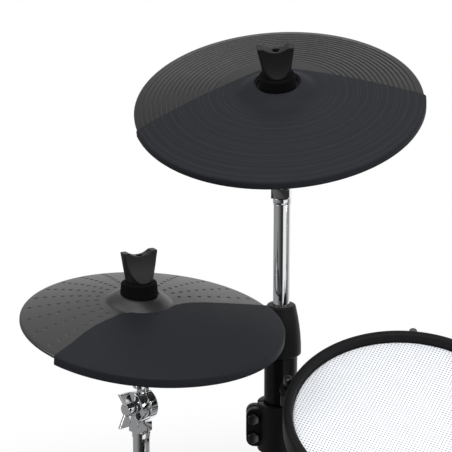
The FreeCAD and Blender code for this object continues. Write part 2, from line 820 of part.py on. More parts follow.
def tilter_head(setting):
    inner = ratchet_gap / 2
    outer = inner + ratchet_thickness
    disc = rod(ratchet_radius, Vector(inner, 0, 0), Vector(outer, 0, 0))
    disc = disc.makeFillet(ratchet_round, [e for e in disc.Edges if e.CenterOfMass.x > outer - 0.1])
    neck = block(Vector(inner, -ratchet_neck_half_width, 0),
                 Vector(outer, ratchet_neck_half_width, tilter_boss_start + tilter_boss_radius))
    cup_low = seat_z(setting) - bell_wall - lower_felt_height - cup_thickness
    boss = Part.makeCylinder(tilter_boss_radius, cup_low - tilter_boss_start, up * tilter_boss_start)
    neck = neck.common(joined(boss, Part.makeBox(outer - ratchet_round, 2 * ratchet_neck_half_width,
                                                 ratchet_radius,
                                                 Vector(0, -ratchet_neck_half_width, 0)),
                              Part.makeCylinder(outer - ratchet_round,
                                                tilter_boss_radius + tilter_boss_start)))
    cup = Part.makeCylinder(cup_radius, cup_thickness, up * cup_low)
    rod_top = seat_z(setting) + upper_felt_height + nut_rod_cover
    stud = Part.makeCylinder(cymbal_rod_radius, rod_top - cup_low, up * cup_low)
    body = joined(disc, neck, boss, cup, stud)
    return body.cut(rod(tilter_bolt_radius + pin_fit, Vector(inner, 0, 0), Vector(outer - bolt_end_wall, 0,
                                                                                  0)))


def arm_and_tilter_base(setting):
    inner = -ratchet_gap / 2
    outer = inner - ratchet_thickness
    arm_top = -arm_top_below_pivot
    ring_top = arm_top + arm_ring_height
    tube = ring(arm_radius, arm_radius - arm_wall, arm_top - setting["arm_length"], arm_top)
    disc = rod(ratchet_radius, Vector(inner, 0, 0), Vector(outer, 0, 0))
    neck = block(Vector(outer, -ratchet_neck_half_width, ring_top), Vector(inner, ratchet_neck_half_width, 0))
    foot = block(Vector(outer, -ratchet_neck_half_width, ring_top),
                 Vector(arm_radius, ratchet_neck_half_width, -ratchet_radius - ratchet_clearance))
    collar_ring = Part.makeCylinder(arm_ring_radius, arm_ring_height, up * arm_top)
    plug = Part.makeCylinder(arm_radius - arm_wall - seat_fit, arm_plug_depth,
                             up * (arm_top - arm_plug_depth))
    base = joined(disc, neck, foot, collar_ring, plug)
    base = base.cut(rod(tilter_bolt_radius + pin_fit, Vector(outer, 0, 0), Vector(inner, 0, 0)))
    return [tube, base]


def tilter_wing_bolt():
    near = -ratchet_gap / 2 - ratchet_thickness
    far = ratchet_gap / 2 + ratchet_thickness - bolt_end_wall - face_gap
    shank = rod(tilter_bolt_radius, Vector(near, 0, 0), Vector(far, 0, 0))
    hub = rod(wing_hub_radius, Vector(near, 0, 0), Vector(near - wing_hub_height, 0, 0))
    wings = []
    for side in (-1, 1):
        points = [Vector(near - face_gap, -wing_thickness / 2, side * wing_hub_radius / 2),
                  Vector(near - wing_root, -wing_thickness / 2, side * wing_span),
                  Vector(near - wing_root - wing_height, -wing_thickness / 2, side * wing_span),
                  Vector(near - wing_hub_height, -wing_thickness / 2, side * wing_hub_radius / 2)]
        wings.append(polygon(points).extrude(Vector(0, wing_thickness, 0)))
    return joined(shank, hub, *wings)


def cymbal(name, setting):
    pivot = setting["pivot"]
    upright = heading(setting["turn"])
    place = leaning(setting["turn"], setting["lean"])
    rest = leaning(setting["turn"], setting["lean"] + setting["rock"])
    seat = up * seat_z(setting)
    pad_at = pivot + place.multVec(seat) - rest.multVec(seat)
    add(name + "_arm", *[put(s, pivot, upright) for s in arm_and_tilter_base(setting)])
    add(name + "_tilter_bolt", put(tilter_wing_bolt(), pivot, upright))
    add(name + "_tilter_head", put(tilter_head(setting), pivot, place))
    add(name + "_plate", put(cymbal_plate(setting), pad_at, rest))
    add(name + "_strike_zone", put(strike_zone(setting), pad_at, rest))
    add(name + "_sensor_box", put(sensor_box(setting), pad_at, rest))
    add(name + "_felts", *[put(s, pivot, place) for s in felts(setting)])
    add(name + "_wing_nut", put(wing_nut(setting), pivot, place))


# Kick tower

def kick_tower():
    base = block(Vector(-kick_base_half_width, -kick_base_front, 0),
                 Vector(kick_base_half_width, kick_base_back, kick_base_thickness))
    tongue = block(Vector(-kick_tongue_half_width, -kick_base_front - kick_tongue_reach, 0),
                   Vector(kick_tongue_half_width, -kick_base_front, kick_base_thickness))
    back = block(Vector(-kick_plate_half_width, kick_plate_y, 0),
                 Vector(kick_plate_half_width, kick_plate_y + kick_plate_thickness, kick_plate_top))
    gussets = []
    for side in (-1, 1):
        foot_y = kick_plate_y + kick_plate_thickness
        left = side * kick_plate_half_width - (kick_gusset_thickness if side > 0 else 0)
        gusset = polygon([Vector(left, foot_y, 0), Vector(left, foot_y + kick_gusset_reach, 0),
                          Vector(left, foot_y, kick_gusset_height)])
        gussets.append(gusset.extrude(Vector(kick_gusset_thickness, 0, 0)))
    add("kick_tower", joined(base, tongue, back, *gussets))
    shell_low = rim_above_hinge - head_drop - head_thickness - shell_depth
    where = Vector(0, kick_plate_y + shell_low, kick_center_z)
    facing = Rotation(Vector(1, 0, 0), 90)
    add("kick_shell", put(pad_pieces["shell"], where, facing), *[put(s, where, facing)
                                                                 for s in pad_pieces["sensor"]])
    add("kick_hoop", put(pad_pieces["hoop"], where, facing), *[put(s, where, facing)
                                                               for s in pad_pieces["screws"]])
    add("kick_head", put(pad_pieces["head"], where, facing))


# Hi-hat pedal

def hihat_pedal():
    heel = Vector(pedal_x, pedal_heel_y, 0)
    base = block(Vector(-pedal_half_width, 0, 0), Vector(pedal_half_width, pedal_length,
                                                         pedal_base_thickness))
    hinge_y = pedal_knuckle_radius + pedal_ear_thickness
    hinge = Vector(0, hinge_y, pedal_hinge_z)
    pieces = [base]
    inner = board_half_width + face_gap
    for side in (-1, 1):
        near = hinge + Vector(side * inner, 0, 0)
        far = hinge + Vector(side * pedal_half_width, 0, 0)
        web = block(Vector(min(near.x, far.x), hinge_y - pedal_knuckle_radius, 0),
                    Vector(max(near.x, far.x), hinge_y + pedal_knuckle_radius, pedal_hinge_z))
        pieces.append(joined(web, rod(pedal_knuckle_radius, near, far)))
    pieces.append(rod(pedal_pin_radius, hinge - Vector(inner, 0, 0), hinge + Vector(inner, 0, 0)))
    pieces.append(block(Vector(-board_half_width, pedal_length - pedal_block_length, 0),
                        Vector(board_half_width, pedal_length, pedal_block_height)))
    add("hihat_pedal_base", put(joined(*pieces), heel))
    board = block(Vector(-board_half_width, 0, -board_thickness / 2),
                  Vector(board_half_width, board_length, board_thickness / 2))
    board = board.makeFillet(board_thickness * 2,
                             [e for e in board.Edges if e.CenterOfMass.y > board_length - 0.1
                                                   and abs(e.tangentAt(e.FirstParameter).z) > 0.9])
    knuckle = rod(pedal_knuckle_radius, Vector(-board_half_width, 0, 0), Vector(board_half_width, 0, 0))
    board = joined(board, knuckle).cut(rod(pedal_pin_radius + pin_fit, Vector(-board_half_width, 0, 0),
                                           Vector(board_half_width, 0, 0)))
    add("hihat_footboard", put(board, heel + hinge, Rotation(Vector(1, 0, 0), board_slope)))


# Sound module

def upright_edges(shape):
    return [e for e in shape.Edges if abs(e.tangentAt(e.FirstParameter).z) > 0.9]


def slab(half_width, half_depth, low, high, corner):
    body = block(Vector(-half_width, -half_depth, low), Vector(half_width, half_depth, high))
    return body.makeFillet(corner, upright_edges(body))


def module_case():
    low = module_ear_drop
    top = low + module_height
    ceiling = top - module_wall
    inside_x = module_half_width - module_wall
    inside_y = module_half_depth - module_wall
    case = slab(module_half_width, module_half_depth, low, top, module_corner)
    case = case.cut(slab(inside_x, inside_y, low, ceiling, module_corner - module_wall))
    floor_top = low + module_floor
    bosses = [Part.makeCylinder(module_boss_radius, ceiling - floor_top, Vector(x, y, floor_top))
              for x in (-module_boss_x, module_boss_x) for y in (-module_boss_y, module_boss_y)]
    bosses.append(Part.makeCylinder(dial_boss_radius, dial_spindle_depth - module_wall,
                                    Vector(dial_x, dial_y, top - dial_spindle_depth)))
    window = block(Vector(screen_center_x - screen_half_width, screen_center_y - screen_half_depth,
                          top - screen_sink),
                   Vector(screen_center_x + screen_half_width, screen_center_y + screen_half_depth, top))
    bores = [Part.makeCylinder(dial_spindle_radius + pin_fit, dial_spindle_depth,
                               Vector(dial_x, dial_y, top - dial_spindle_depth))]
    first = -rear_jack_pitch * (rear_jack_count - 1) / 2
    for k in range(rear_jack_count):
        start = Vector(first + k * rear_jack_pitch, module_half_depth, low + module_height / 2)
        bores.append(rod(jack_bore_radius, start, start - Vector(0, module_wall, 0)))
    return joined(case, *bosses).cut([window] + bores)


def module_base():
    low = module_ear_drop
    floor_top = low + module_floor
    inside_x = module_half_width - module_wall - seat_fit
    inside_y = module_half_depth - module_wall - seat_fit
    floor = slab(inside_x, inside_y, low, floor_top, module_corner - module_wall)
    pegs = [Part.makeCylinder(board_peg_radius, board_peg_height, Vector(x, y, floor_top))
            for x in (-board_peg_x, board_peg_x) for y in (-board_peg_y, board_peg_y)]
    board_z = floor_top + board_peg_height
    circuit = block(Vector(-circuit_half_width, -circuit_half_depth, board_z),
                    Vector(circuit_half_width, circuit_half_depth, board_z + circuit_thickness))
    return [joined(floor, *pegs, *hinge_ears(low)), circuit]


def module_dial():
    top = module_ear_drop + module_height
    dial = Part.makeCylinder(dial_radius, dial_height, Vector(dial_x, dial_y, top + dial_lift))
    dial = dial.makeFillet(dial_height / 6, [e for e in dial.Edges if e.CenterOfMass.z > top + dial_height])
    spindle = Part.makeCylinder(dial_spindle_radius, dial_spindle_depth + dial_lift,
                                Vector(dial_x, dial_y, top - dial_spindle_depth))
    return joined(dial, spindle)


def sound_module():
    setting = module_setting
    clamp, bolts, arm = rod_arm(setting["post"], setting["eye"], setting["turn"], setting["ear_turn"])
    add("module_bracket", clamp, arm, *bolts)
    place = leaning(setting["turn"], setting["lean"])
    add("module_case", put(module_case(), setting["eye"], place))
    add("module_base", *[put(s, setting["eye"], place) for s in module_base()])
    add("module_dial", put(module_dial(), setting["eye"], place))


rack()
cymbal("crash", crash_setting)
cymbal("hihat", hihat_setting)
cymbal("ride", ride_setting)
for pad_name, pad_setting in pad_settings.items():
    mesh_pad(pad_name, pad_setting, pad_name == "tom_1")
kick_tower()
hihat_pedal()
sound_module()

os.makedirs("parts", exist_ok=True)
for node_name, shapes in nodes.items():
    solids = [solid for shape in shapes for solid in shape.Solids]
    whole = solids[0] if len(solids) == 1 else Part.makeCompound(solids)
    if not whole.isValid():
        print("not valid:", node_name)
    whole.exportStep("parts/" + node_name + ".step")
print(len(nodes), "nodes")
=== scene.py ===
import json
import math
from contextlib import contextmanager
from functools import partialmethod
from math import cos, degrees, hypot, pi, radians, sin, tau
import bmesh
import bpy
import numpy as np
from mathutils import Matrix, Vector


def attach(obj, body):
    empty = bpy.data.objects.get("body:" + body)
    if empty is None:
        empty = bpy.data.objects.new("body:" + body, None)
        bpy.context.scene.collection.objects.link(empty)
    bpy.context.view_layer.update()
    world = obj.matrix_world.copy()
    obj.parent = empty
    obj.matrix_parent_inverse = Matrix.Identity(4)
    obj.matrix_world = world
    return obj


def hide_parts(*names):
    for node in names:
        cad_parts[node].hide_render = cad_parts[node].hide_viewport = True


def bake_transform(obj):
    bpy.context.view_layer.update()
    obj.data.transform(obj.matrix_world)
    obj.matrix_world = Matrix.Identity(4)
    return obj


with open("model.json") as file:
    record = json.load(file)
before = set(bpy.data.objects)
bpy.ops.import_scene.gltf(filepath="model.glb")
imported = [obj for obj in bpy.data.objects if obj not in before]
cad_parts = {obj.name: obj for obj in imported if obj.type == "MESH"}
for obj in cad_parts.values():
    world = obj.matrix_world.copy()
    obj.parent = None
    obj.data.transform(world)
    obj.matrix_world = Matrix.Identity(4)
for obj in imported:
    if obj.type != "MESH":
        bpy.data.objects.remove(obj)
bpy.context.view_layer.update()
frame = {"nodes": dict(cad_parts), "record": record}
nodes = frame["nodes"]
mm = 0.001
white = (1.0, 1.0, 1.0, 1.0)
scene = bpy.context.scene
scene.view_settings.view_transform = "Standard"
print("frame loaded:", len(nodes), "nodes")


# Camera, read from the picture

viewpoint = dict(location=(0.0997, -1.8434, 1.46), tilt=75.0, turn=15.0, sensor=36.0, focalPixels=1740,
                 picturePixels=452, clip=(0.05, 60.0))
cameraData = bpy.data.cameras.new("camera")
cameraData.lens = viewpoint["sensor"] * viewpoint["focalPixels"] / viewpoint["picturePixels"]
cameraData.sensor_width = viewpoint["sensor"]
cameraData.clip_start, cameraData.clip_end = viewpoint["clip"]
camera = bpy.data.objects.new("camera", cameraData)
camera.location = viewpoint["location"]
camera.rotation_euler = (radians(viewpoint["tilt"]), 0.0, radians(viewpoint["turn"]))
scene.collection.objects.link(camera)
scene.camera = camera


# Sockets with arithmetic, for materials, the world and node trees alike

class Wire:
    def __init__(self, shop, socket):
        self.shop = shop
        self.socket = socket

    def maths(self, operation, other, turned=False):
        pair = {0: other, 1: self} if turned else {0: self, 1: other}
        return self.shop.make("Math", pair, operation=operation)

    def one(self, operation):
        return self.shop.make("Math", {0: self}, operation=operation)

    __add__ = partialmethod(maths, "ADD")
    __radd__ = partialmethod(maths, "ADD", turned=True)
    __sub__ = partialmethod(maths, "SUBTRACT")
    __rsub__ = partialmethod(maths, "SUBTRACT", turned=True)
    __mul__ = partialmethod(maths, "MULTIPLY")
    __truediv__ = partialmethod(maths, "DIVIDE")
    __pow__ = partialmethod(maths, "POWER")
    __neg__ = partialmethod(maths, "MULTIPLY", -1.0)


class Shop:
    def __init__(self, tree):
        self.tree = tree

    def make(self, kind, sockets=None, out=0, **settings):
        node = self.tree.nodes.new(kind if "Node" in kind else "ShaderNode" + kind)
        for key, value in settings.items():
            setattr(node, key, value)
        for key, value in (sockets or {}).items():
            self.feed(node.inputs[key], value)
        return Wire(self, node.outputs[out]) if node.outputs else node

    def feed(self, target, value):
        if isinstance(value, Wire):
            self.tree.links.new(value.socket, target)
        else:
            target.default_value = value

    def steps(self, value, low, high):    # 0 below low, 1 above high, smooth between
        return self.make("MapRange", {"Value": value, "From Min": low, "From Max": high},
                         interpolation_type="SMOOTHSTEP")

    def blendColour(self, share, first, second):
        first, second = [c if isinstance(c, Wire) else (*c, 1.0) for c in (first, second)]
        return self.make("Mix", {0: share, 6: first, 7: second}, 2, data_type="RGBA")

    def noise(self, place, scale, detail=2.0, stretch=None):
        if stretch:
            place = self.make("Mapping", {"Vector": place, "Scale": stretch})
        return self.make("TexNoise", {"Vector": place, "Scale": scale, "Detail": detail})

    def bump(self, height, strength, distance):
        return self.make("Bump", {"Height": height, "Strength": strength, "Distance": distance})

    def ramp(self, share, stops):
        node = self.tree.nodes.new("ShaderNodeValToRGB")
        while len(node.color_ramp.elements) < len(stops):
            node.color_ramp.elements.new(1.0)
        for element, (place, value) in zip(node.color_ramp.elements, stops):
            element.position = place
            element.color = (value, value, value, 1.0)
        self.feed(node.inputs[0], share)
        return Wire(self, node.outputs[0])

    def parts(self, vector):
        split = self.tree.nodes.new("ShaderNodeSeparateXYZ")
        self.tree.links.new(vector.socket, split.inputs[0])
        return [Wire(self, split.outputs[k]) for k in range(3)]


room = dict(topLight=0.42, topFade=(0.42, 0.68), floorColour=(0.86, 0.86, 0.86, 1.0), floorFade=(1.15, 2.1),
            floorSize=14.0, floorDrop=0.0006, front=15.0,
            around=((-180, 1.0), (-166, 0.80), (-146, 0.30), (-62, 0.28), (-36, 0.14), (-12, 0.03),
                    (12, 0.03), (19, 0.95), (54, 0.95), (64, 0.28), (100, 0.28), (120, 0.85), (180, 1.0)))


def clearedShop(owner):
    owner.use_nodes = True
    owner.node_tree.nodes.clear()
    return Shop(owner.node_tree)


def makeRoom():
    scene.world = bpy.data.worlds.new("studio")
    shop = clearedShop(scene.world)
    seen = shop.make("LightPath", out="Is Camera Ray")
    clear = shop.make("LightPath", out="Is Transmission Ray")
    x, y, z = shop.parts(shop.make("TexCoord", out="Generated"))
    cosine, sine = [f(radians(room["front"])) for f in (cos, sin)]
    turn = (x * cosine + y * sine).maths("ARCTAN2", x * sine - y * cosine)
    level = shop.ramp(turn / tau + 0.5, [(a / 360 + 0.5, v) for a, v in room["around"]])
    level = level + shop.steps(z, *room["topFade"]) * (room["topLight"] - level)
    level = level + seen.maths("MAXIMUM", clear) * (1.0 - level)
    surface = shop.make("Background", {"Color": white, "Strength": level})
    shop.make("OutputWorld", {"Surface": surface})


def makeFloor():
    size = room["floorSize"] / 2
    mesh = bpy.data.meshes.new("floor")
    corners = ((-1, -1), (1, -1), (1, 1), (-1, 1))
    mesh.from_pydata([(x * size, y * size, -room["floorDrop"]) for x, y in corners], [], [(0, 1, 2, 3)])
    floor = bpy.data.objects.new("floor", mesh)
    scene.collection.objects.link(floor)
    floor.visible_glossy = False
    paint = bpy.data.materials.new("paleFloor")
    shop = clearedShop(paint)
    x, y, z = shop.parts(shop.make("TexCoord", out="Object"))
    far = shop.steps((x * x + y * y) ** 0.5, *room["floorFade"])
    seen = shop.make("LightPath", out="Is Camera Ray")
    matt = shop.make("BsdfDiffuse", {"Color": room["floorColour"]})
    glow = shop.make("Emission", {"Color": white, "Strength": 1.0})
    surface = shop.make("MixShader", {0: far * seen, 1: matt, 2: glow})
    shop.make("OutputMaterial", {"Surface": surface})
    mesh.materials.append(paint)


softBoxes = {
    "leftBox": dict(at=(-2.3, -1.2, 2.4), aim=(-0.25, 0.0, 0.8), size=(1.5, 1.8), power=30.0),
    "topBox": dict(at=(0.1, 0.3, 3.2), aim=(0.0, 0.0, 0.6), size=(2.6, 1.8), power=20.0),
    "frontBox": dict(at=(0.3, -2.2, 3.2), aim=(-0.1, 0.0, 0.7), size=(2.2, 1.4), power=60.0),
    "rightBox": dict(at=(2.5, -0.3, 2.0), aim=(0.0, 0.0, 0.8), size=(1.2, 1.8), power=24.0),
}


def makeLights():
    for name, box in softBoxes.items():
        lamp = bpy.data.lights.new(name, "AREA")
        lamp.shape = "RECTANGLE"
        lamp.size, lamp.size_y = box["size"]
        lamp.energy = box["power"]
        holder = bpy.data.objects.new(name, lamp)
        holder.location = box["at"]
        aim = Vector(box["aim"]) - Vector(box["at"])
        holder.rotation_euler = aim.to_track_quat("-Z", "Y").to_euler()
        scene.collection.objects.link(holder)


makeRoom()
makeFloor()
makeLights()
print("camera, room and lights set")


# Finishes

def newFinish(name):
    finish = bpy.data.materials.new(name)
    finish.use_nodes = True
    shop = Shop(finish.node_tree)
    return finish, shop, shop.make("TexCoord", out="Object")


def dressed(finish, shop, values):    # the finish with these values on its shader
    inputs = finish.node_tree.nodes["Principled BSDF"].inputs
    for key, value in values.items():
        shop.feed(inputs[key], value)
    return finish


handling = dict(finer=5.0, detail=6.0, stretch=(1.0, 1.0, 0.35), edge=(0.60, 0.72))


def mouldedFinish(name, look):    # plastic, rubber and paint: a drifting shade, fine grain, handling marks
    finish, shop, place = newFinish(name)
    drift = shop.noise(place, look["drift"], 4.0)
    grain = shop.noise(place, look["grain"])
    marks = shop.noise(place, look["drift"] * handling["finer"], handling["detail"], handling["stretch"])
    marks = shop.steps(marks, *handling["edge"])
    shade = shop.blendColour(drift, look["dark"], look["light"])
    relief = grain
    if "lines" in look:    # fine turned lines, at two pitches that run in and out of step: a real relief, and along each a lighter colour that is a painted highlight
        radius = shop.make("Attribute", out="Fac", attribute_name="radius")
        for pitch, width in look["lines"]:
            line = shop.steps(((radius / pitch).one("FRACT") - 0.5).one("ABSOLUTE"), 0.5 - width / pitch, 0.5)
            line = line * shop.steps(radius, *look["linesFrom"])
            # each line is painted lighter: a painted highlight where its edge catches the light
            shade = shop.blendColour(line, shade, look["lineColour"])
            relief = relief + line * look["lineRelief"]
    return dressed(finish, shop, {
        "Base Color": shop.blendColour(grain * look["speck"], shade, look["fleck"]),
        "Roughness": look["rough"] + (drift - 0.5) * look["spread"] - marks * look["shine"],
        "Normal": shop.bump(relief, look["depth"], 0.0004), "Specular IOR Level": look.get("gloss", 0.5)})


def metalFinish(name, look):    # plated or brushed metal with faint smears
    finish, shop, place = newFinish(name)
    smear = shop.noise(place, look["smear"], 5.0)
    hair = shop.noise(place, look["hair"], 2.0, look["lay"])
    return dressed(finish, shop, {
        "Base Color": shop.blendColour(smear, look["dark"], look["light"]),
        "Roughness": look["rough"] + smear * look["spread"] + hair * look["brush"],
        "Normal": shop.bump(hair, look["depth"], 0.0002), "Metallic": 1.0})


def feltFinish(name, look):    # pressed wool: a tangle of short fibres
    finish, shop, place = newFinish(name)
    fibres = shop.noise(place, look["fibre"], 6.0, look["lay"])
    tufts = shop.noise(place, look["tuft"], 3.0)
    return dressed(finish, shop, {
        "Base Color": shop.blendColour(fibres, look["dark"], look["light"]),
        "Roughness": look["rough"] + tufts * look["spread"],
        "Normal": shop.bump(fibres * 0.7 + tufts * 0.5, look["depth"], 0.0012),
        "Sheen Weight": look["sheen"], "Sheen Roughness": 0.5, "Specular IOR Level": 0.08})


def weaveFinish(name, look):    # mesh cloth: a square lattice of small holes, turned against the pad
    finish, shop, place = newFinish(name)
    u, v, w = shop.parts(shop.make("UVMap"))
    cosine, sine = [f(radians(look["turn"])) / look["pitch"] for f in (cos, sin)]
    across = (u * cosine + v * sine).one("FRACT") - 0.5
    along = (v * cosine - u * sine).one("FRACT") - 0.5
    thread = shop.steps((across * across + along * along) ** 0.5, *look["holeEdge"])
    wear = shop.noise(place, look["drift"], 4.0)
    cloth = shop.blendColour(wear, look["dark"], look["light"])
    return dressed(finish, shop, {
        "Base Color": shop.blendColour(thread, look["hole"], cloth),
        "Roughness": look["rough"] + wear * look["spread"],
        "Normal": shop.bump(thread, look["depth"], 0.0005), "Sheen Weight": 0.15})


def glassFinish(name, look):    # dark display glass, faintly clouded by wiping
    finish, shop, place = newFinish(name)
    cloud = shop.noise(place, look["cloud"], 5.0)
    return dressed(finish, shop, {
        "Base Color": shop.blendColour(cloud, look["dark"], look["light"]),
        "Roughness": look["rough"] + cloud * look["spread"], "Coat Weight": 0.6, "Coat Roughness": 0.04})


strikeLook = dict(
    dark=(0.0085, 0.0095, 0.012), light=(0.0122, 0.0136, 0.017), fleck=(0.023, 0.025, 0.03), speck=0.45,
    drift=11.0, grain=820.0, rough=0.58, spread=0.1, shine=0.04, depth=0.3, gloss=0.1)
plateLook = dict(
    dark=(0.0065, 0.0064, 0.0063), light=(0.0105, 0.0103, 0.0102), fleck=(0.02, 0.02, 0.02), speck=0.35,
    drift=9.0, grain=1100.0, rough=0.34, spread=0.08, shine=0.05, depth=0.14, gloss=0.4)
mouldedLooks = dict(
    satinSteel=dict(
        dark=(0.0015, 0.0015, 0.0018), light=(0.0035, 0.0035, 0.004), fleck=(0.008, 0.008, 0.009), speck=0.25,
        drift=9.0, grain=1400.0, rough=0.26, spread=0.08, shine=0.05, depth=0.1, gloss=0.2),
    grainPlastic=dict(
        dark=(0.0045, 0.0045, 0.005), light=(0.0085, 0.0085, 0.0095), fleck=(0.018, 0.018, 0.019), speck=0.3,
        drift=14.0, grain=1900.0, rough=0.44, spread=0.12, shine=0.06, depth=0.16, gloss=0.15),
    nutPlastic=dict(
        dark=(0.0045, 0.0045, 0.005), light=(0.008, 0.008, 0.009), fleck=(0.015, 0.015, 0.016), speck=0.25,
        drift=30.0, grain=2100.0, rough=0.4, spread=0.1, shine=0.05, depth=0.12, gloss=0.25),
    shellPlastic=dict(
        dark=(0.008, 0.008, 0.0085), light=(0.016, 0.016, 0.017), fleck=(0.035, 0.035, 0.036), speck=0.35,
        drift=10.0, grain=1500.0, rough=0.5, spread=0.12, shine=0.05, depth=0.22, gloss=0.4),
    hoopRubber=dict(
        dark=(0.004, 0.004, 0.0045), light=(0.009, 0.009, 0.0095), fleck=(0.018, 0.018, 0.019), speck=0.3,
        drift=12.0, grain=1700.0, rough=0.58, spread=0.1, shine=0.05, depth=0.12, gloss=0.12),
    footRubber=dict(
        dark=(0.01, 0.01, 0.01), light=(0.02, 0.02, 0.02), fleck=(0.05, 0.048, 0.046), speck=0.4,
        drift=16.0, grain=1300.0, rough=0.72, spread=0.16, shine=0.04, depth=0.25, gloss=0.3),
    strikeRubber=strikeLook,
    # rubber with fine turned lines; their lighter colour is a painted highlight
    linedRubber=dict(strikeLook, lines=((0.0078, 0.0006), (0.0113, 0.0006)), linesFrom=(0.052, 0.06),
                     lineColour=(0.022, 0.024, 0.029), lineRelief=0.8),
    platePlastic=plateLook,
    dimplePlastic=dict(plateLook, gloss=0.75, rough=0.38),
    modulePlastic=dict(
        dark=(0.014, 0.014, 0.015), light=(0.024, 0.024, 0.026), fleck=(0.05, 0.05, 0.053), speck=0.35,
        drift=10.0, grain=1600.0, rough=0.5, spread=0.1, shine=0.05, depth=0.2),
    dialPlastic=dict(
        dark=(0.02, 0.02, 0.021), light=(0.034, 0.034, 0.036), fleck=(0.06, 0.06, 0.062), speck=0.3,
        drift=20.0, grain=1800.0, rough=0.42, spread=0.1, shine=0.06, depth=0.14),
    foamGrey=dict(
        dark=(0.05, 0.05, 0.052), light=(0.09, 0.09, 0.093), fleck=(0.14, 0.14, 0.14), speck=0.5,
        drift=30.0, grain=700.0, rough=0.8, spread=0.1, shine=0.02, depth=0.5),
)
boltLook = dict(smear=40.0, hair=500.0, lay=(1.0, 1.0, 0.3), brush=0.06, depth=0.05)
metalLooks = dict(
    chrome=dict(
        dark=(0.8, 0.81, 0.83), light=(0.88, 0.89, 0.9), smear=16.0, hair=300.0, lay=(1.0, 1.0, 0.06),
        rough=0.035, spread=0.05, brush=0.02, depth=0.012),
    zincSteel=dict(boltLook, dark=(0.34, 0.35, 0.37), light=(0.52, 0.53, 0.55), rough=0.24, spread=0.14),
    darkSteel=dict(boltLook, dark=(0.07, 0.07, 0.075), light=(0.13, 0.13, 0.135), rough=0.28, spread=0.12),
    castMetal=dict(
        dark=(0.28, 0.29, 0.3), light=(0.42, 0.43, 0.44), smear=20.0, hair=700.0, lay=(1.0, 0.05, 1.0),
        rough=0.32, spread=0.12, brush=0.1, depth=0.09),
)
makers = {
    mouldedFinish: mouldedLooks, metalFinish: metalLooks,
    feltFinish: dict(blackFelt=dict(
        dark=(0.0008, 0.0008, 0.0008), light=(0.003, 0.003, 0.0032), fibre=900.0, tuft=260.0,
        lay=(1.0, 1.0, 2.2), rough=0.88, spread=0.1, depth=0.9, sheen=0.01)),
    weaveFinish: dict(meshCloth=dict(
        dark=(0.84, 0.86, 0.895), light=(0.9, 0.915, 0.945), hole=(0.2, 0.23, 0.29), pitch=0.0036, turn=-23.0,
        holeEdge=(0.14, 0.34), drift=18.0, rough=0.62, spread=0.16, depth=0.4)),
    glassFinish: dict(displayGlass=dict(
        dark=(0.006, 0.007, 0.009), light=(0.01, 0.012, 0.015), cloud=14.0, rough=0.05, spread=0.06)),
}
finishes = {name: make(name, look) for make, looks in makers.items() for name, look in looks.items()}
print("finishes made:", len(finishes))


# Making and placing pieces

def standing(at, turn=0.0, lean=0.0):
    return (Matrix.Translation(Vector(at) * mm) @ Matrix.Rotation(radians(turn), 4, "Z")
            @ Matrix.Rotation(radians(lean), 4, "X"))


@contextmanager
def reworked(mesh, source=None):    # a mesh opened for editing, then written back
    work = bmesh.new()
    work.from_mesh(source or mesh)
    yield work
    work.to_mesh(mesh)
    work.free()


def meshOf(name, points, faces):
    mesh = bpy.data.meshes.new(name)
    mesh.from_pydata(points, [], faces)
    return mesh


def newPiece(name, mesh, place=None):
    mesh.name = name
    if place is not None:
        mesh.transform(place)
    piece = bpy.data.objects.new(name, mesh)
    scene.collection.objects.link(piece)
    return piece


def shadeRound(piece, angle=35.0):
    piece.data.shade_smooth()
    piece.data.set_sharp_from_angle(angle=radians(angle))
    return piece


def coat(piece, *names):
    piece.data.materials.clear()
    for name in names:
        piece.data.materials.append(finishes[name])
    return piece


def settled(piece):    # the piece with its modifiers worked into the mesh
    bpy.context.view_layer.update()
    mesh = bpy.data.meshes.new_from_object(piece.evaluated_get(bpy.context.evaluated_depsgraph_get()))
    piece.modifiers.clear()
    old = piece.data
    piece.data = mesh
    mesh.name = old.name
    bpy.data.meshes.remove(old)
    return piece


def mount(piece, body, slot, *replaced):
    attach(piece, body)
    if replaced:
        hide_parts(*replaced)
    return piece


def bodyOf(node):
    return next(body for body, members in frame["record"]["behaviour"]["bodies"].items() if node in members)


def cadCopy(name, node):    # a merged copy of a CAD node's mesh
    mesh = bpy.data.meshes.new(name)
    with reworked(mesh, nodes[node].data) as work:
        bmesh.ops.remove_doubles(work, verts=work.verts, dist=1e-5)
        bmesh.ops.dissolve_limit(work, angle_limit=radians(0.6), verts=work.verts, edges=work.edges,
                                 delimit={"NORMAL"})
        bmesh.ops.recalc_face_normals(work, faces=work.faces)
    return newPiece(name, mesh)


def easeEdges(piece, width, angle, clamped=False):    # rounds the edges that are sharper than the angle
    ease = piece.modifiers.new("ease", "BEVEL")
    ease.limit_method = "ANGLE"
    ease.angle_limit = radians(angle)
    ease.width = width * mm
    ease.segments = 2
    ease.use_clamp_overlap = clamped
    return settled(piece)


def easedCopy(node, width, slot, finish):    # a CAD node with its sharp edges eased
    piece = easeEdges(cadCopy(node + ".eased", node), width, 38.0)
    coat(shadeRound(piece, 42.0), finish)
    return mount(piece, bodyOf(node), slot, node)


def partedCopy(node, width, slot, finish, main):    # with its bolts and screws in a finish of their own
    piece = easedCopy(node, width, slot, finish)
    piece.data.materials.append(finishes["darkSteel"])
    with reworked(piece.data) as work:
        islands, seen = [], set()
        for start in work.verts:
            if start in seen:
                continue
            seen.add(start)
            group = [start]
            for vert in group:
                for other in [edge.other_vert(vert) for edge in vert.link_edges]:
                    if other not in seen:
                        seen.add(other)
                        group.append(other)
            span = [max(v.co[k] for v in group) - min(v.co[k] for v in group) for k in range(3)]
            islands.append((max(span), len(islands), group))
        for size, order, group in sorted(islands)[:-main]:
            for face in [face for vert in group for face in vert.link_faces]:
                face.material_index = 1
    return piece


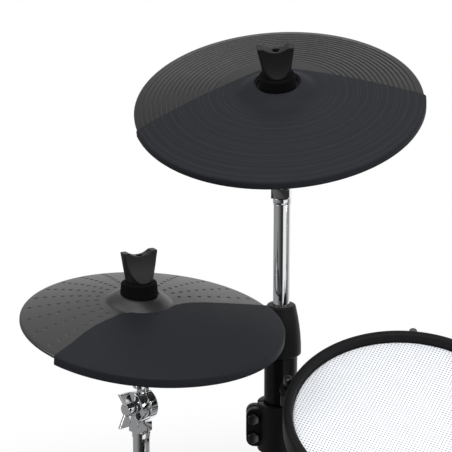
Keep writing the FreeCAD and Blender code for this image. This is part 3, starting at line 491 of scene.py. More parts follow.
def softCopy(node, voxel, passes, slot, finish):    # a CAD node as a casting: every edge rounded over
    piece = cadCopy(node + ".cast", node)
    skin = piece.modifiers.new("skin", "REMESH")
    skin.mode = "VOXEL"
    skin.voxel_size = voxel * mm
    smooth = piece.modifiers.new("smooth", "SMOOTH")
    smooth.factor = 0.5
    smooth.iterations = passes
    settled(piece)
    piece.data.shade_smooth()
    coat(piece, finish)
    return mount(piece, bodyOf(node), slot, node)


# Node trees for what repeats

def newTree(name, **groups):    # its inputs by kind, between the geometry and the paint
    tree = bpy.data.node_groups.new(name, "GeometryNodeTree")
    inputs = [(title, kind) for kind, titles in groups.items() for title in titles]
    inputs = [("Geometry", "Geometry")] + inputs + [("Paint", "Material")]
    for title, kind in inputs:
        tree.interface.new_socket(name=title, in_out="INPUT", socket_type="NodeSocket" + kind)
    tree.interface.new_socket(name="Geometry", in_out="OUTPUT", socket_type="NodeSocketGeometry")
    shop = Shop(tree)
    entry = tree.nodes.new("NodeGroupInput")
    return tree, shop, {title: Wire(shop, entry.outputs[title]) for title, kind in inputs}


def closeTree(shop, shape, paint):
    whole = shop.make("GeometryNodeRealizeInstances", {"Geometry": shape})
    painted = shop.make("GeometryNodeSetMaterial", {"Geometry": whole, "Material": paint})
    shop.make("NodeGroupOutput", {"Geometry": painted})


def growTree(piece, tree, values):    # runs a tree on a piece and keeps the result as its plain mesh
    grown = piece.modifiers.new("grown", "NODES")
    grown.node_group = tree
    sockets = {item.name: item.identifier for item in tree.interface.items_tree
               if item.item_type == "SOCKET" and item.in_out == "INPUT"}
    for title, value in values.items():
        grown[sockets[title]] = value
    return settled(piece)


def marked(shop, title):
    return shop.make("GeometryNodeInputNamedAttribute", {"Name": title}, data_type="FLOAT")


def topsideShift(shop, shape, depth):    # sinks the marked top points by depth
    drop = shop.make("CombineXYZ", {"Z": -(depth * marked(shop, "topside"))})
    return shop.make("GeometryNodeSetPosition", {"Geometry": shape, "Offset": drop})


def makeGrooveTree():    # turned rings: a steep wall, then a slope, again and again outwards
    tree, shop, given = newTree("turnedGrooves", Float=[
        "First Radius", "Last Radius", "Pitch", "Depth", "Wall", "Slope"])
    x, y, z = shop.parts(shop.make("GeometryNodeInputPosition"))
    radius = (x * x + y * y) ** 0.5
    share = ((radius - given["First Radius"]) / given["Pitch"]).one("FRACT")
    wall = 1.0 - share / given["Wall"]
    slope = 1.0 - (1.0 - share) / given["Slope"]
    deepest = wall.maths("MAXIMUM", slope).maths("MAXIMUM", 0.0)
    inside = radius.maths("GREATER_THAN", given["First Radius"] - 1e-5)
    inside = inside * radius.maths("LESS_THAN", given["Last Radius"] + 1e-5)
    closeTree(shop, topsideShift(shop, given["Geometry"], deepest * inside * given["Depth"]), given["Paint"])
    return tree


def makeDimpleTree():    # round dimples in rows that fan out from the bell, on rings that draw away from it
    tree, shop, given = newTree("dimpleRows", Int=["Rings", "Rows"], Float=[
        "First Share", "Share Step", "First Angle", "Angle Step", "Front", "Foot Radius", "Edge Radius",
        "Edge Offset", "Dimple Radius", "Depth"])
    first, step, size = given["First Angle"], given["Angle Step"], given["Dimple Radius"]
    x, y, z = shop.parts(shop.make("GeometryNodeInputPosition"))
    radius = (x * x + y * y) ** 0.5
    angle = x.maths("ARCTAN2", -y) - given["Front"] - first + step * 0.5
    turn = (angle / tau + 2.0).one("FRACT") * tau
    row = (turn / step).one("FLOOR").maths("MINIMUM", given["Rows"] - 1.0)
    ring = ((marked(shop, "share") - given["First Share"]) / given["Share Step"]).one("ROUND")
    ring = ring.maths("MAXIMUM", 0.0).maths("MINIMUM", given["Rings"] - 1.0)
    level = given["First Share"] + ring * given["Share Step"]
    bearing = first + row * step
    wide = given["Foot Radius"] + (given["Edge Radius"] - given["Foot Radius"]) * level
    offset = given["Edge Offset"] * level
    aside = offset * bearing.one("SINE")
    centre = offset * bearing.one("COSINE") + (wide * wide - aside * aside) ** 0.5
    around = (turn - (row + 0.5) * step) * radius
    outward = radius - centre
    reach = (around * around + outward * outward) / (size * size)
    cup = (1.0 - reach).maths("MAXIMUM", 0.0) ** 0.6
    closeTree(shop, topsideShift(shop, given["Geometry"], cup * given["Depth"]), given["Paint"])
    return tree


def repeatOnPoints(shop, given, points, **turned):    # one small part, repeated on every point
    part = shop.make("GeometryNodeObjectInfo", {"Object": given["Part"]}, "Geometry")
    spread = shop.make("GeometryNodeInstanceOnPoints", dict(turned, Points=points, Instance=part))
    closeTree(shop, spread, given["Paint"])


def makeRingTree():    # parts round a circle, each facing outwards
    tree, shop, given = newTree("partsRoundRing", Object=["Part"], Int=["Count"], Float=["Circle Radius"])
    circle = {"Vertices": given["Count"], "Radius": given["Circle Radius"]}
    place = shop.make("GeometryNodeInputPosition")
    facing = shop.make("FunctionNodeAlignRotationToVector", {"Vector": place}, axis="X", pivot_axis="Z")
    repeatOnPoints(shop, given, shop.make("GeometryNodeMeshCircle", circle), Rotation=facing)
    return tree


def makeRowTree():    # parts along a straight row
    tree, shop, given = newTree("partsInRow", Object=["Part"], Int=["Count"], Vector=["First", "Step"])
    line = {"Count": given["Count"], "Start Location": given["First"], "Offset": given["Step"]}
    repeatOnPoints(shop, given, shop.make("GeometryNodeMeshLine", line, mode="OFFSET"))
    return tree


ringTree = makeRingTree()
rowTree = makeRowTree()
grooveTree = makeGrooveTree()
dimpleTree = makeDimpleTree()
print("node trees built")


def spreadParts(name, part, tree, values, place, finish):
    piece = newPiece(name, bpy.data.meshes.new(name))
    growTree(piece, tree, dict(values, Part=part, Paint=finishes[finish]))
    piece.data.transform(place)
    bpy.data.objects.remove(part)
    return piece


def turnedSolid(name, profile, segments):    # a closed profile of (radius, height), turned about the axis
    points, faces = [], []
    count = len(profile)
    for k in range(segments):
        t = tau * k / segments
        points += [(r * sin(t) * mm, -r * cos(t) * mm, z * mm) for r, z in profile]
    for k in range(segments):
        near, far = k * count, (k + 1) % segments * count
        for j in range(count):
            after = (j + 1) % count
            faces.append((near + j, near + after, far + after, far + j))
    mesh = meshOf(name, points, faces)
    with reworked(mesh) as work:
        bmesh.ops.remove_doubles(work, verts=work.verts, dist=1e-6)
        bmesh.ops.recalc_face_normals(work, faces=work.faces)
    return mesh


# Cymbal pads

cymbalCommon = dict(
    edgeInset=2.0, plateThickness=3.5, bellRim=2.0, bellWall=4.0, holeRadius=7.5, bowBulge=2.0, seatEase=0.4,
    zoneThickness=2.2, zoneSink=0.3, zoneInset=3.2, rimRound=2.6, lipReturn=7.0)
grooveCut = dict(pitch=5.8, depth=0.85, wall=0.2, slope=0.8)
lineCut = dict(pitch=7.8, depth=0.22, wall=0.06, slope=0.06)
ringedPad = dict(rock=0.0, rimWall=9.9, rimHeight=95.0, rimOffset=0.0, seatRadius=24.2, seatDepth=3.0,
                 crease=2.2, borderSlope=26.6)
cymbals = dict(
    crash=dict(ringedPad, pivot=(-350.0, 90.0, 994.0), turn=4.3, lean=20.4, radius=167.5, bellRadius=44.0,
               bellRise=14.3, bellTop=25.0, zoneTurn=17.4, borderReach=51.0,
               grooves=dict(grooveCut, first=75.0, last=161.8), lines=dict(lineCut, first=62.4, last=156.1)),
    hihat=dict(pivot=(-485.4, -40.4, 738.0), turn=57.2, lean=0.0, rock=7.1, radius=151.2, rimWall=12.1,
               rimHeight=110.5, rimOffset=27.0, bellRadius=38.0, bellRise=15.5, bellTop=25.0, seatRadius=22.2,
               seatDepth=0.8, crease=1.6, zoneTurn=-3.45,
               leftBorder=((0.0, 44.0), (0.03, 54.0), (0.06, 60.9), (0.11, 66.6), (0.25, 73.5), (0.40, 77.3),
                           (0.56, 78.8), (0.77, 79.1), (1.0, 80.4)),
               rightBorder=((0.0, 20.0), (0.01, 28.5), (0.03, 41.7), (0.09, 53.9), (0.18, 62.2), (0.31, 68.0),
                            (0.50, 72.1), (0.70, 75.4), (1.0, 79.3)),
               dimples=dict(first=0.11, step=0.1129, rings=8, firstAngle=78.0, angleStep=14.571, rows=15,
                            radius=2.5, depth=0.8)),
    ride=dict(ringedPad, pivot=(350.0, 90.0, 985.0), turn=-10.0, lean=18.0, radius=178.0, bellRadius=50.0,
              bellRise=15.5, bellTop=27.0, zoneTurn=-17.4, borderReach=57.0,
              grooves=dict(grooveCut, first=83.0, last=172.3), lines=dict(lineCut, first=70.2, last=163.9)),
)


def arcHeight(a, b, c):    # height over the radius of the circle through three points
    (ax, ay), (bx, by), (cx, cy) = a, b, c
    d = 2 * (ax * (by - cy) + bx * (cy - ay) + cx * (ay - by))
    sa, sb, sc = ax * ax + ay * ay, bx * bx + by * by, cx * cx + cy * cy
    mx = (sa * (by - cy) + sb * (cy - ay) + sc * (ay - by)) / d
    my = (sa * (cx - bx) + sb * (ax - cx) + sc * (bx - ax)) / d
    size = hypot(ax - mx, ay - my)
    side = 1.0 if by > my else -1.0
    return lambda r: my + side * math.sqrt(max(size * size - (r - mx) ** 2, 0.0))


def seatHeight(c):
    return c["rimHeight"] + c["bellTop"] - c["seatDepth"]


def crownRadius(c):
    return c["seatRadius"] + cymbalCommon["bellRim"]


def edgeRadius(c):
    return c["radius"] - cymbalCommon["edgeInset"]


def padPlace(c):    # the pad rests rocked about its seat
    seat = Matrix.Translation((0.0, 0.0, seatHeight(c) * mm))
    return (standing(c["pivot"], c["turn"], c["lean"]) @ seat @ Matrix.Rotation(radians(c["rock"]), 4, "X")
            @ seat.inverted())


def plateHeight(c):    # top of the hard plate, from the bell's rim to the edge
    base, foot, edge, crown = c["rimHeight"], c["bellRadius"], edgeRadius(c), crownRadius(c)
    bow = arcHeight((foot, base + c["bellRise"]),
                    ((foot + edge) / 2, base + c["bellRise"] / 2 + cymbalCommon["bowBulge"]), (edge, base))
    bell = arcHeight((foot, base + c["bellRise"]),
                     ((foot + 2 * crown) / 3, base + (c["bellRise"] + 3 * c["bellTop"]) / 4),
                     (crown, base + c["bellTop"]))
    plain = lambda r: bell(r) if r < foot else bow(r)

    def eased(r):    # the bell runs into the bow
        spread = min(c["crease"], max(r - crown, 0.0), max(edge - r, 0.0))
        return sum(plain(r + spread * s) for s in (-1, -0.66, -0.33, 0, 0.33, 0.66, 1)) / 7
    return eased


def ringShare(c, r):    # 0 at the bell's foot, 1 at the edge
    return max(0.0, (r - c["bellRadius"]) / (edgeRadius(c) - c["bellRadius"]))


def ringPoints(c, r, z, angles):    # one ring of points, at angles from the middle of the strike zone
    front = radians(c["zoneTurn"])
    t = np.radians(np.asarray(angles, float)) + front
    r, z = np.broadcast_to(r, t.shape), np.broadcast_to(z, t.shape)
    shift = np.array([ringShare(c, each) for each in r]) * c["rimOffset"]
    return np.stack([r * np.sin(t) + shift * sin(front), -r * np.cos(t) - shift * cos(front), z], 1)


def shellMesh(name, top, low, shares, closed):
    # a shell between two stacks of rings; an open one gets a cap at each end
    count = len(top[0])
    points = np.concatenate(top + low) * mm
    faces = []
    first, last = len(top), len(top) + len(low) - 1
    for j in range(count if closed else count - 1):
        n = (j + 1) % count
        for i in range(first - 1):
            a, b = i * count, (i + 1) * count
            faces.append((a + j, b + j, b + n, a + n))
        for i in range(first, last):
            a, b = i * count, (i + 1) * count
            faces.append((a + j, a + n, b + n, b + j))
        a, b = (first - 1) * count, last * count
        faces.append((b + j, b + n, a + n, a + j))
        b = first * count
        faces.append((j, n, b + n, b + j))
    if not closed:
        tops = [i * count for i in range(first)]
        lows = [i * count for i in range(first, last + 1)]
        faces.append(tuple(lows + tops[::-1]))
        faces.append(tuple(i + count - 1 for i in tops + lows[::-1]))
    mesh = meshOf(name, points.tolist(), faces)
    marks = dict(topside=[1.0] * (first * count) + [0.0] * (len(low) * count),
                 share=np.repeat(list(shares) + [0.0] * len(low), count),
                 radius=np.hypot(points[:, 0], points[:, 1]))
    for title, values in marks.items():
        mesh.attributes.new(title, "FLOAT", "POINT").data.foreach_set("value", values)
    return mesh


def spaced(start, end, step):
    count = max(1, round((end - start) / step))
    return [start + (end - start) * k / count for k in range(count + 1)]


def ringRadii(start, end, cut):    # radii that fall on every corner of the turned rings
    radii = set()
    rings = math.floor((cut["last"] - cut["first"]) / cut["pitch"] + 0.01)
    for k in range(rings + 1):
        foot = cut["first"] + k * cut["pitch"]
        for share in (-1.6 * cut["slope"], -cut["slope"], 0.0, cut["wall"], 1.6 * cut["wall"]):
            if cut["first"] <= foot + share * cut["pitch"] <= cut["last"]:
                radii.add(round(foot + share * cut["pitch"], 3))
    for r in spaced(start, cut["first"] - 1.0, 3.0) + spaced(cut["last"] + 0.6, end, 2.0):
        radii.add(round(r, 3))
    return sorted(radii)


def cutRings(piece, cut, finish):
    growTree(piece, grooveTree, {"First Radius": cut["first"] * mm, "Last Radius": cut["last"] * mm,
                                 "Pitch": cut["pitch"] * mm, "Depth": cut["depth"] * mm, "Wall": cut["wall"],
                                 "Slope": cut["slope"], "Paint": finishes[finish]})


def mergedMesh(piece, distance):
    with reworked(piece.data) as work:
        bmesh.ops.remove_doubles(work, verts=work.verts, dist=distance)
        bmesh.ops.dissolve_degenerate(work, edges=work.edges, dist=distance)
        bmesh.ops.recalc_face_normals(work, faces=work.faces)


plateColumns = dict(even=300, fine=(70.0, 290.0, 490), coarse=(290.0, 430.0, 80))    # fine across the dimples


def makePlate(name, c, height):
    k = cymbalCommon
    base, edge, crown, seat = c["rimHeight"], edgeRadius(c), crownRadius(c), seatHeight(c)
    foot, crownTop, step = c["bellRadius"], base + c["bellTop"], min(k["seatEase"], c["seatDepth"] / 3)
    top = [(k["holeRadius"], seat), (c["seatRadius"] - step, seat), (c["seatRadius"], seat + step),
           (c["seatRadius"], crownTop - step), (c["seatRadius"] + step, crownTop)]
    if "grooves" in c:
        radii = ringRadii(crown, edge - 1.0, c["grooves"])
        columns = np.arange(plateColumns["even"]) * (360.0 / plateColumns["even"])
    else:
        d = c["dimples"]
        first, last = [foot + (edge - foot) * (d["first"] + d["step"] * n) for n in (-0.5, d["rings"] - 0.5)]
        radii = spaced(crown, foot - 2.0, 2.0) + spaced(foot - 1.5, foot + 1.5, 0.5)
        radii += spaced(foot + 2.0, first, 2.0)[:-1] + spaced(first, last, 0.9)
        radii += spaced(last + 1.0, edge - 1.0, 2.0)
        fine, coarse = [np.linspace(*plateColumns[key]) for key in ("fine", "coarse")]
        columns = np.concatenate([fine, coarse[1:-1]])
    top += [(r, height(r)) for r in radii]
    top += [(edge - 0.35, base - 0.25), (edge, base - 0.9)]
    under = seat - k["bellWall"]
    low = [(k["holeRadius"], under), (c["seatRadius"] - k["bellRim"], under),
           (foot, base + c["bellRise"] - k["plateThickness"])]
    low += [(r, height(r) - k["plateThickness"]) for r in spaced(foot + 6.0, edge - 2.0, 8.0)]
    low += [(edge - 0.5, base - k["plateThickness"]), (edge, base - k["plateThickness"] + 0.6)]
    rings = [[ringPoints(c, r, z, columns) for r, z in side] for side in (top, low)]
    shares = [ringShare(c, r) for r, z in top]
    piece = newPiece(name + "Plate", shellMesh(name, rings[0], rings[1], shares, True))
    if "grooves" in c:
        cutRings(piece, c["grooves"], "platePlastic")
        piece.data.materials.append(finishes["hoopRubber"])
        for face in piece.data.polygons:    # the felt's seat is painted in the dark rubber finish: painted shade for the deep, shadowed seat round the felt
            if face.center.xy.length < crown * mm:
                face.material_index = len(piece.data.materials) - 1
    else:
        growTree(piece, dimpleTree, {
            "First Share": d["first"], "Share Step": d["step"], "Rings": d["rings"], "Rows": d["rows"],
            "First Angle": radians(d["firstAngle"]), "Angle Step": radians(d["angleStep"]),
            "Front": radians(c["zoneTurn"]), "Foot Radius": foot * mm, "Edge Radius": edge * mm,
            "Edge Offset": c["rimOffset"] * mm, "Dimple Radius": d["radius"] * mm, "Depth": d["depth"] * mm,
            "Paint": finishes["dimplePlastic"]})
    piece.data.transform(padPlace(c))
    shadeRound(piece, 28.0)
    return mount(piece, name + "_pad", "cymbal_plastic", name + "_plate")


def rimProfile(c):    # the strike zone's rim: it rounds over and ends in a lip
    outer, crest, bend = c["radius"], c["rimHeight"] + cymbalCommon["zoneThickness"], cymbalCommon["rimRound"]
    bottom = crest - c["rimWall"]
    rounding = [radians(90.0 * k / 7) for k in range(1, 8)]
    rim = [(outer - bend + bend * sin(t), crest - bend + bend * cos(t)) for t in rounding]
    return rim + [(outer, bottom + 1.6), (outer - 0.5, bottom + 0.5), (outer - 1.6, bottom)]


def lipProfile(c):    # and hooks under the plate
    k, base, edge = cymbalCommon, c["rimHeight"], edgeRadius(c)
    bottom = base + k["zoneThickness"] - c["rimWall"]
    return [(edge - 0.2, base - 0.5), (edge - 0.2, base - k["plateThickness"]),
            (edge - k["lipReturn"], base - k["plateThickness"] - 0.1), (edge - k["lipReturn"], bottom + 0.6),
            (edge - k["lipReturn"] + 0.6, bottom)]


def borderedRings(c, height):    # a zone that ends in straight borders behind the bell
    lift, sink = cymbalCommon["zoneThickness"], cymbalCommon["zoneSink"]
    edge, inner, outer = edgeRadius(c), crownRadius(c), c["radius"] - cymbalCommon["zoneInset"]
    slope, reach = 90.0 - c["borderSlope"], c["borderReach"]
    corner = 180.0 - c["borderSlope"] / 2
    full = slope + degrees(math.asin(reach / c["radius"]))
    start = slope + degrees(math.asin(reach / edge))
    reachAt = lambda a: reach / max(sin(radians(a - slope)), -cos(radians(a)))
    along = []
    (r0, a0), (r1, a1) = [(reachAt(a), radians(a)) for a in (start, corner)]
    for s in [k / 55 for k in range(56)]:
        x, y = [(1 - s) * r0 * f(a0) + s * r1 * f(a1) for f in (sin, cos)]
        along.append((degrees(math.atan2(x, y)), hypot(x, y)))
    along += [(a, reachAt(a)) for a in np.linspace(corner, 180.0, 8)[1:]]
    columns = [(a, 1e6) for a in np.linspace(-full, full, 241)] + along
    columns += [(360.0 - a, r) for a, r in along[-2::-1]]
    angles, limit = np.array(columns).T
    clipped = limit < 1e5
    wall = [(0.35, lift - 0.08), (0.15, lift - 0.25), (0.0, lift - 0.6)]
    wall += [(0.0, (lift - 0.6) * (1 - k / 7) - sink * k / 7) for k in range(1, 8)]
    heights = lambda r: np.array([height(each) for each in r])

    def within(r, inset, rise):    # a ring on the plate, kept inside the borders
        at = np.minimum(r, limit - inset)
        return ringPoints(c, at, heights(at) + rise, angles)

    def edged(r, z, inset, rise):    # a ring of the rim; along the borders it is their wall
        at = np.where(clipped, limit - inset, r)
        return ringPoints(c, at, np.where(clipped, heights(np.where(clipped, at, 50.0)) + rise, z), angles)

    shell = [(inner, lift * 0.45), (inner + 0.3, lift * 0.85)]
    shell += [(r, lift) for r in ringRadii(inner + 0.8, outer, c["lines"])]
    top = [within(r, 0.6, rise) for r, rise in shell]
    top += [edged(r, z, *step) for (r, z), step in zip(rimProfile(c), wall)]
    low = [within(r, 0.0, -sink) for r in [inner] + spaced(inner + 4.0, edge - 1.0, 6.0)]
    return top, low + [edged(r, z, 0.0, -sink) for r, z in lipProfile(c)]


def sectorRings(c, height):    # a zone that stops at the bell's foot, between two curved borders
    lift, sink = cymbalCommon["zoneThickness"], cymbalCommon["zoneSink"]
    edge, inner, outer = edgeRadius(c), c["bellRadius"] + 0.6, c["radius"] - cymbalCommon["zoneInset"]
    across = np.linspace(0.0, 1.0, 241)

    def ring(r, z):
        left = np.interp(ringShare(c, r), *zip(*c["leftBorder"]))
        right = np.interp(ringShare(c, r), *zip(*c["rightBorder"]))
        return ringPoints(c, r, z, -left + across * (left + right))

    top = [ring(inner, height(inner) + lift * 0.45), ring(inner + 0.3, height(inner) + lift * 0.85)]
    top += [ring(r, height(r) + lift) for r in spaced(inner + 1.0, outer, 2.0)]
    top += [ring(r, z) for r, z in rimProfile(c)]
    low = [ring(r, height(r) - sink) for r in [inner] + spaced(inner + 4.0, edge - 1.0, 6.0)]
    low += [ring(r, z) for r, z in lipProfile(c)]
    return top, low


def makeZone(name, c, height):
    bordered = "borderReach" in c
    top, low = borderedRings(c, height) if bordered else sectorRings(c, height)
    piece = newPiece(name + "StrikeZone", shellMesh(name, top, low, [0.0] * len(top), bordered))
    if bordered:
        cutRings(piece, c["lines"], "linedRubber")
        mergedMesh(piece, 2e-5)
    else:
        easeEdges(piece, 0.6, 55.0)
    piece.data.transform(padPlace(c))
    shadeRound(piece, 40.0)
    coat(piece, "linedRubber" if bordered else "strikeRubber")
    return mount(piece, name + "_pad", "strike_rubber", name + "_strike_zone")


felts = dict(upper=dict(radius=21.4, topRadius=20.4, height=14.85, hole=6.1, round=2.0, wedgeAt=0.0),
             lower=dict(radius=16.9, topRadius=16.9, height=8.0, hole=6.1, round=1.6, wedgeAt=1.0))
feltSkin = dict(step=1.1, segments=120, nap=0.00010, swell=0.00025, plain=0.0004)


def makeFelt(name, f, base, place, rock, seed):
    # a cut washer of felt: rounded edges, a slightly uneven wall and a nap
    # its side next to the pad slopes with the pad
    quarter = [radians(90.0 * k / 4) for k in range(5)]
    profile = [(f["hole"], 0.0), (f["radius"] - f["round"], 0.0)]
    profile += [(f["radius"] - f["round"] * (1 - sin(t)), f["round"] * (1 - cos(t))) for t in quarter[1:]]
    profile += [(f["topRadius"] - f["round"] * (1 - cos(t)), f["height"] - f["round"] * (1 - sin(t)))
                for t in quarter]
    profile.append((f["hole"], f["height"]))
    dense = []
    for (r0, z0), (r1, z1) in zip(profile, profile[1:] + profile[:1]):
        parts = max(1, round(hypot(r1 - r0, z1 - z0) / feltSkin["step"]))
        dense += [(r0 + (r1 - r0) * k / parts, z0 + (z1 - z0) * k / parts) for k in range(parts)]
    mesh = turnedSolid(name, dense, feltSkin["segments"])
    chance = np.random.default_rng(seed)
    count = len(mesh.vertices)
    co = np.zeros(count * 3)
    mesh.vertices.foreach_get("co", co)
    co = co.reshape(-1, 3)
    wall = np.minimum(co[:, 2], f["height"] * mm - co[:, 2]) > feltSkin["plain"]
    nap = chance.normal(0.0, feltSkin["nap"], count) * wall
    out = co.copy()
    out[:, 2] = 0
    out /= np.maximum(np.linalg.norm(out, axis=1), 1e-9)[:, None]
    swell = feltSkin["swell"] * np.sin(3 * np.arctan2(co[:, 1], co[:, 0]) + seed)
    rise = co[:, 2] / (f["height"] * mm)
    co[:, 2] += co[:, 1] * math.tan(radians(rock)) * (1.0 - np.abs(rise - f["wedgeAt"]))
    co += out * (nap + swell * wall)[:, None]
    co[:, 2] += base * mm
    mesh.vertices.foreach_set("co", co.ravel())
    mesh.update()
    piece = newPiece(name, mesh, place)
    piece.data.shade_smooth()
    return coat(piece, "blackFelt")


def makeCymbal(name, c, seed):
    place = standing(c["pivot"], c["turn"], c["lean"])
    height = plateHeight(c)
    makePlate(name, c, height)
    makeZone(name, c, height)
    seat = seatHeight(c)
    under = seat - cymbalCommon["bellWall"]
    tall, short = felts["upper"]["height"], felts["lower"]["height"]
    upper = makeFelt(name + "UpperFelt", felts["upper"], seat, place, c["rock"], seed)
    lower = makeFelt(name + "LowerFelt", felts["lower"], under - short, place, c["rock"], seed + 1)
    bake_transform(upper)
    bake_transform(lower)
    for felt in (upper, lower):
        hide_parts(name + "_felts")
    softCopy(name + "_wing_nut", 0.7, 4, "black_plastic", "nutPlastic")
    softCopy(name + "_tilter_head", 0.6, 8, "chrome", "chrome")
    softCopy(name + "_tilter_bolt", 0.5, 10, "chrome", "chrome")
    easedCopy(name + "_sensor_box", 1.2, "black_plastic", "grainPlastic")
    easedCopy(name + "_arm", 0.5, "chrome", "chrome")


for order, (name, c) in enumerate(cymbals.items()):
    makeCymbal(name, c, 10 * order + 3)
    print("cymbal pad made:", name)


# Mesh pads

padShape = dict(headHeight=67.6, headRadius=124.4, edgeRound=3.0, edgeDrop=6.0, columns=128)
pads = dict(
    tom_1=standing((-178.0, -42.4, 702.4), 13.5, 22.85),
    tom_2=standing((178.0, -42.4, 702.4), -13.5, 22.85),
    tom_3=standing((310.0, -384.0, 640.0), -28.0, 12.0),
    snare=standing((-190.0, -392.0, 616.0), 20.0, 6.0),
    kick=standing((0.0, 64.6, 262.0), 0.0, 90.0),
)


def makeHead(name, place):
    # one sheet of mesh, stretched flat and turned down over its rim
    high, wide, bend = padShape["headHeight"], padShape["headRadius"], padShape["edgeRound"]
    profile = [(r, high) for r in spaced(0.6, wide - bend, 6.0)]
    for t in [radians(15.0 * k) for k in range(1, 7)]:
        profile.append((wide - bend + bend * sin(t), high - bend * (1 - cos(t))))
    profile.append((wide, high - padShape["edgeDrop"]))
    count, run, last = padShape["columns"], 0.0, (0.0, high)
    angles = [tau * k / count for k in range(count)]
    points, flat = [(0.0, 0.0, high * mm)], [(0.0, 0.0)]
    for r, z in profile:
        run += hypot(r - last[0], z - last[1])
        last = (r, z)
        points += [(r * mm * sin(a), -r * mm * cos(a), z * mm) for a in angles]
        flat += [(run * mm * sin(a), -run * mm * cos(a)) for a in angles]
    faces = [(0, 1 + j, 1 + (j + 1) % count) for j in range(count)]
    for i in range(len(profile) - 1):
        a, b = 1 + i * count, 1 + (i + 1) * count
        faces += [(a + j, b + j, b + (j + 1) % count, a + (j + 1) % count) for j in range(count)]
    mesh = meshOf(name, points, faces)
    layer = mesh.uv_layers.new(name="cloth")
    for loop in mesh.loops:
        layer.data[loop.index].uv = flat[loop.vertex_index]
    piece = newPiece(name + "Head", mesh, place)
    piece.data.shade_smooth()
    coat(piece, "meshCloth")
    return mount(piece, "rack" if name == "kick" else name + "_pad", "mesh", name + "_head")


for name, place in pads.items():
    makeHead(name, place)
    partedCopy(name + "_hoop", 0.9, "hoop_rubber", "hoopRubber", 1)
    easedCopy(name + "_shell", 0.8, "shell_plastic", "shellPlastic")
for name in ("tom_2", "tom_3", "snare"):
    partedCopy(name + "_arm", 0.8, "arm_metal", "satinSteel", 2)
partedCopy("tom_1_clamp", 0.8, "arm_metal", "grainPlastic", 1)
easedCopy("tom_1_rod", 0.6, "arm_metal", "satinSteel")
easedCopy("tom_1_screws", 0.5, "bolt_steel", "darkSteel")
print("mesh pads made:", len(pads))


# Rack, tower, pedal and module

for node, width, slot, finish in (
        ("bar_clamps", 1.0, "black_plastic", "grainPlastic"),
        ("clamp_bolts", 0.7, "bolt_steel", "zincSteel"),
        ("post_collars", 0.6, "black_plastic", "grainPlastic"),
        ("post_plugs", 1.0, "black_plastic", "grainPlastic"),
        ("rack_feet", 1.5, "foot_rubber", "footRubber"),
        ("module_bracket", 0.8, "arm_metal", "satinSteel"),
        ("kick_tower", 1.0, "black_steel", "satinSteel"),
        ("hihat_pedal_base", 1.2, "black_steel", "satinSteel"),
        ("hihat_footboard", 1.4, "footboard_metal", "castMetal"),
        ("module_case", 2.0, "module_plastic", "modulePlastic"),
        ("module_base", 0.6, "module_plastic", "modulePlastic"),
        ("module_dial", 0.8, "dial_plastic", "dialPlastic")):
    easedCopy(node, width, slot, finish)

footboardRibs = dict(count=13, first=(0.0, 46.0, 3.5), step=(0.0, 15.0, 0.0), halfWidth=33.0,
                     width=5.0, height=1.6)
footboardPlace = standing((-330.0, -676.0, 22.0), 0.0, 14.0)


def ribShape(name, half, width, height):    # a low bar with sloping sides and rounded ends
    rows = []
    arc = [pi * k / 9 for k in range(10)]
    for share, inset in ((0.0, 0.0), (0.6, 0.25), (1.0, 0.9)):
        bend = width / 2 - inset
        end = [(half - width / 2 + bend * sin(t), -bend * cos(t)) for t in arc]
        rows.append([(x * mm, y * mm, height * share * mm) for x, y in end + [(-x, -y) for x, y in end]])
    count = len(rows[0])
    faces = []
    for low, high in ((0, count), (count, 2 * count)):
        faces += [(low + j, low + (j + 1) % count, high + (j + 1) % count, high + j) for j in range(count)]
    faces.append(tuple(range(2 * count, 3 * count)))
    faces.append(tuple(range(count))[::-1])
    return shadeRound(newPiece(name, meshOf(name, [p for row in rows for p in row], faces)), 50.0)


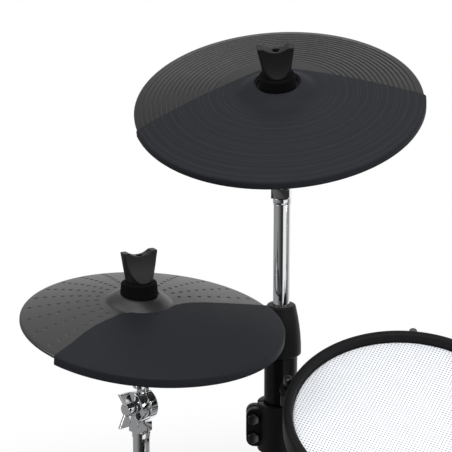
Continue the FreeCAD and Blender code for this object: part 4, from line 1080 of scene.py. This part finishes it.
rib = ribShape("rib", footboardRibs["halfWidth"], footboardRibs["width"], footboardRibs["height"])
firstRib, ribStep = [tuple(Vector(footboardRibs[key]) * mm) for key in ("first", "step")]
ribs = spreadParts("footboardRibs", rib, rowTree,
                   {"Count": footboardRibs["count"], "First": firstRib, "Step": ribStep},
                   footboardPlace, "footRubber")
mount(ribs, "footboard", "foot_rubber")

modulePlace = standing((-612.0, -383.5, 554.0), 35.0, 30.0)
moduleFace = dict(top=66.0, screenAt=(-38.0, 6.0), screenHalf=(61.6, 43.6), screenSink=1.45, screenThick=1.1,
                  dialAt=(68.0, 6.0, 66.5), dialRadius=19.0, dialRibs=36, ribSink=0.3)


def makeScreen():
    mesh = bpy.data.meshes.new("moduleScreen")
    (x, y), (halfX, halfY) = moduleFace["screenAt"], moduleFace["screenHalf"]
    under = moduleFace["top"] - moduleFace["screenSink"]
    with reworked(mesh) as work:
        bmesh.ops.create_grid(work, x_segments=2, y_segments=2, size=1.0)
        for v in work.verts:
            v.co = Vector((x + v.co.x * halfX, y + v.co.y * halfY, under)) * mm
        slab = bmesh.ops.extrude_face_region(work, geom=list(work.faces))
        for v in slab["geom"]:
            if isinstance(v, bmesh.types.BMVert):
                v.co.z += moduleFace["screenThick"] * mm
        bmesh.ops.recalc_face_normals(work, faces=work.faces)
    screen = easeEdges(newPiece("moduleScreen", mesh, modulePlace), 0.4, 30.0, True)
    coat(shadeRound(screen), "displayGlass")
    return mount(screen, "module", "module_plastic")


makeScreen()
dialRib = turnedSolid("dialRib", [(0.0, 0.0), (1.0, 0.0), (1.0, 12.0), (0.6, 13.0), (0.0, 13.2)], 8)
ribCircle = (moduleFace["dialRadius"] - moduleFace["ribSink"]) * mm
dialRibs = spreadParts("dialRibs", newPiece("dialRib", dialRib), ringTree,
                       {"Count": moduleFace["dialRibs"], "Circle Radius": ribCircle},
                       modulePlace @ standing(moduleFace["dialAt"]), "dialPlastic")
shadeRound(dialRibs)
mount(dialRibs, "module_dial", "dial_plastic")
print("rack, tower, pedal and module dressed")


# CAD nodes that stay as they are, in their finishes

for node, finish in (("rack_posts", "satinSteel"), ("rack_bars", "satinSteel"), ("tom_1_sensor", "foamGrey")):
    coat(nodes[node], finish)
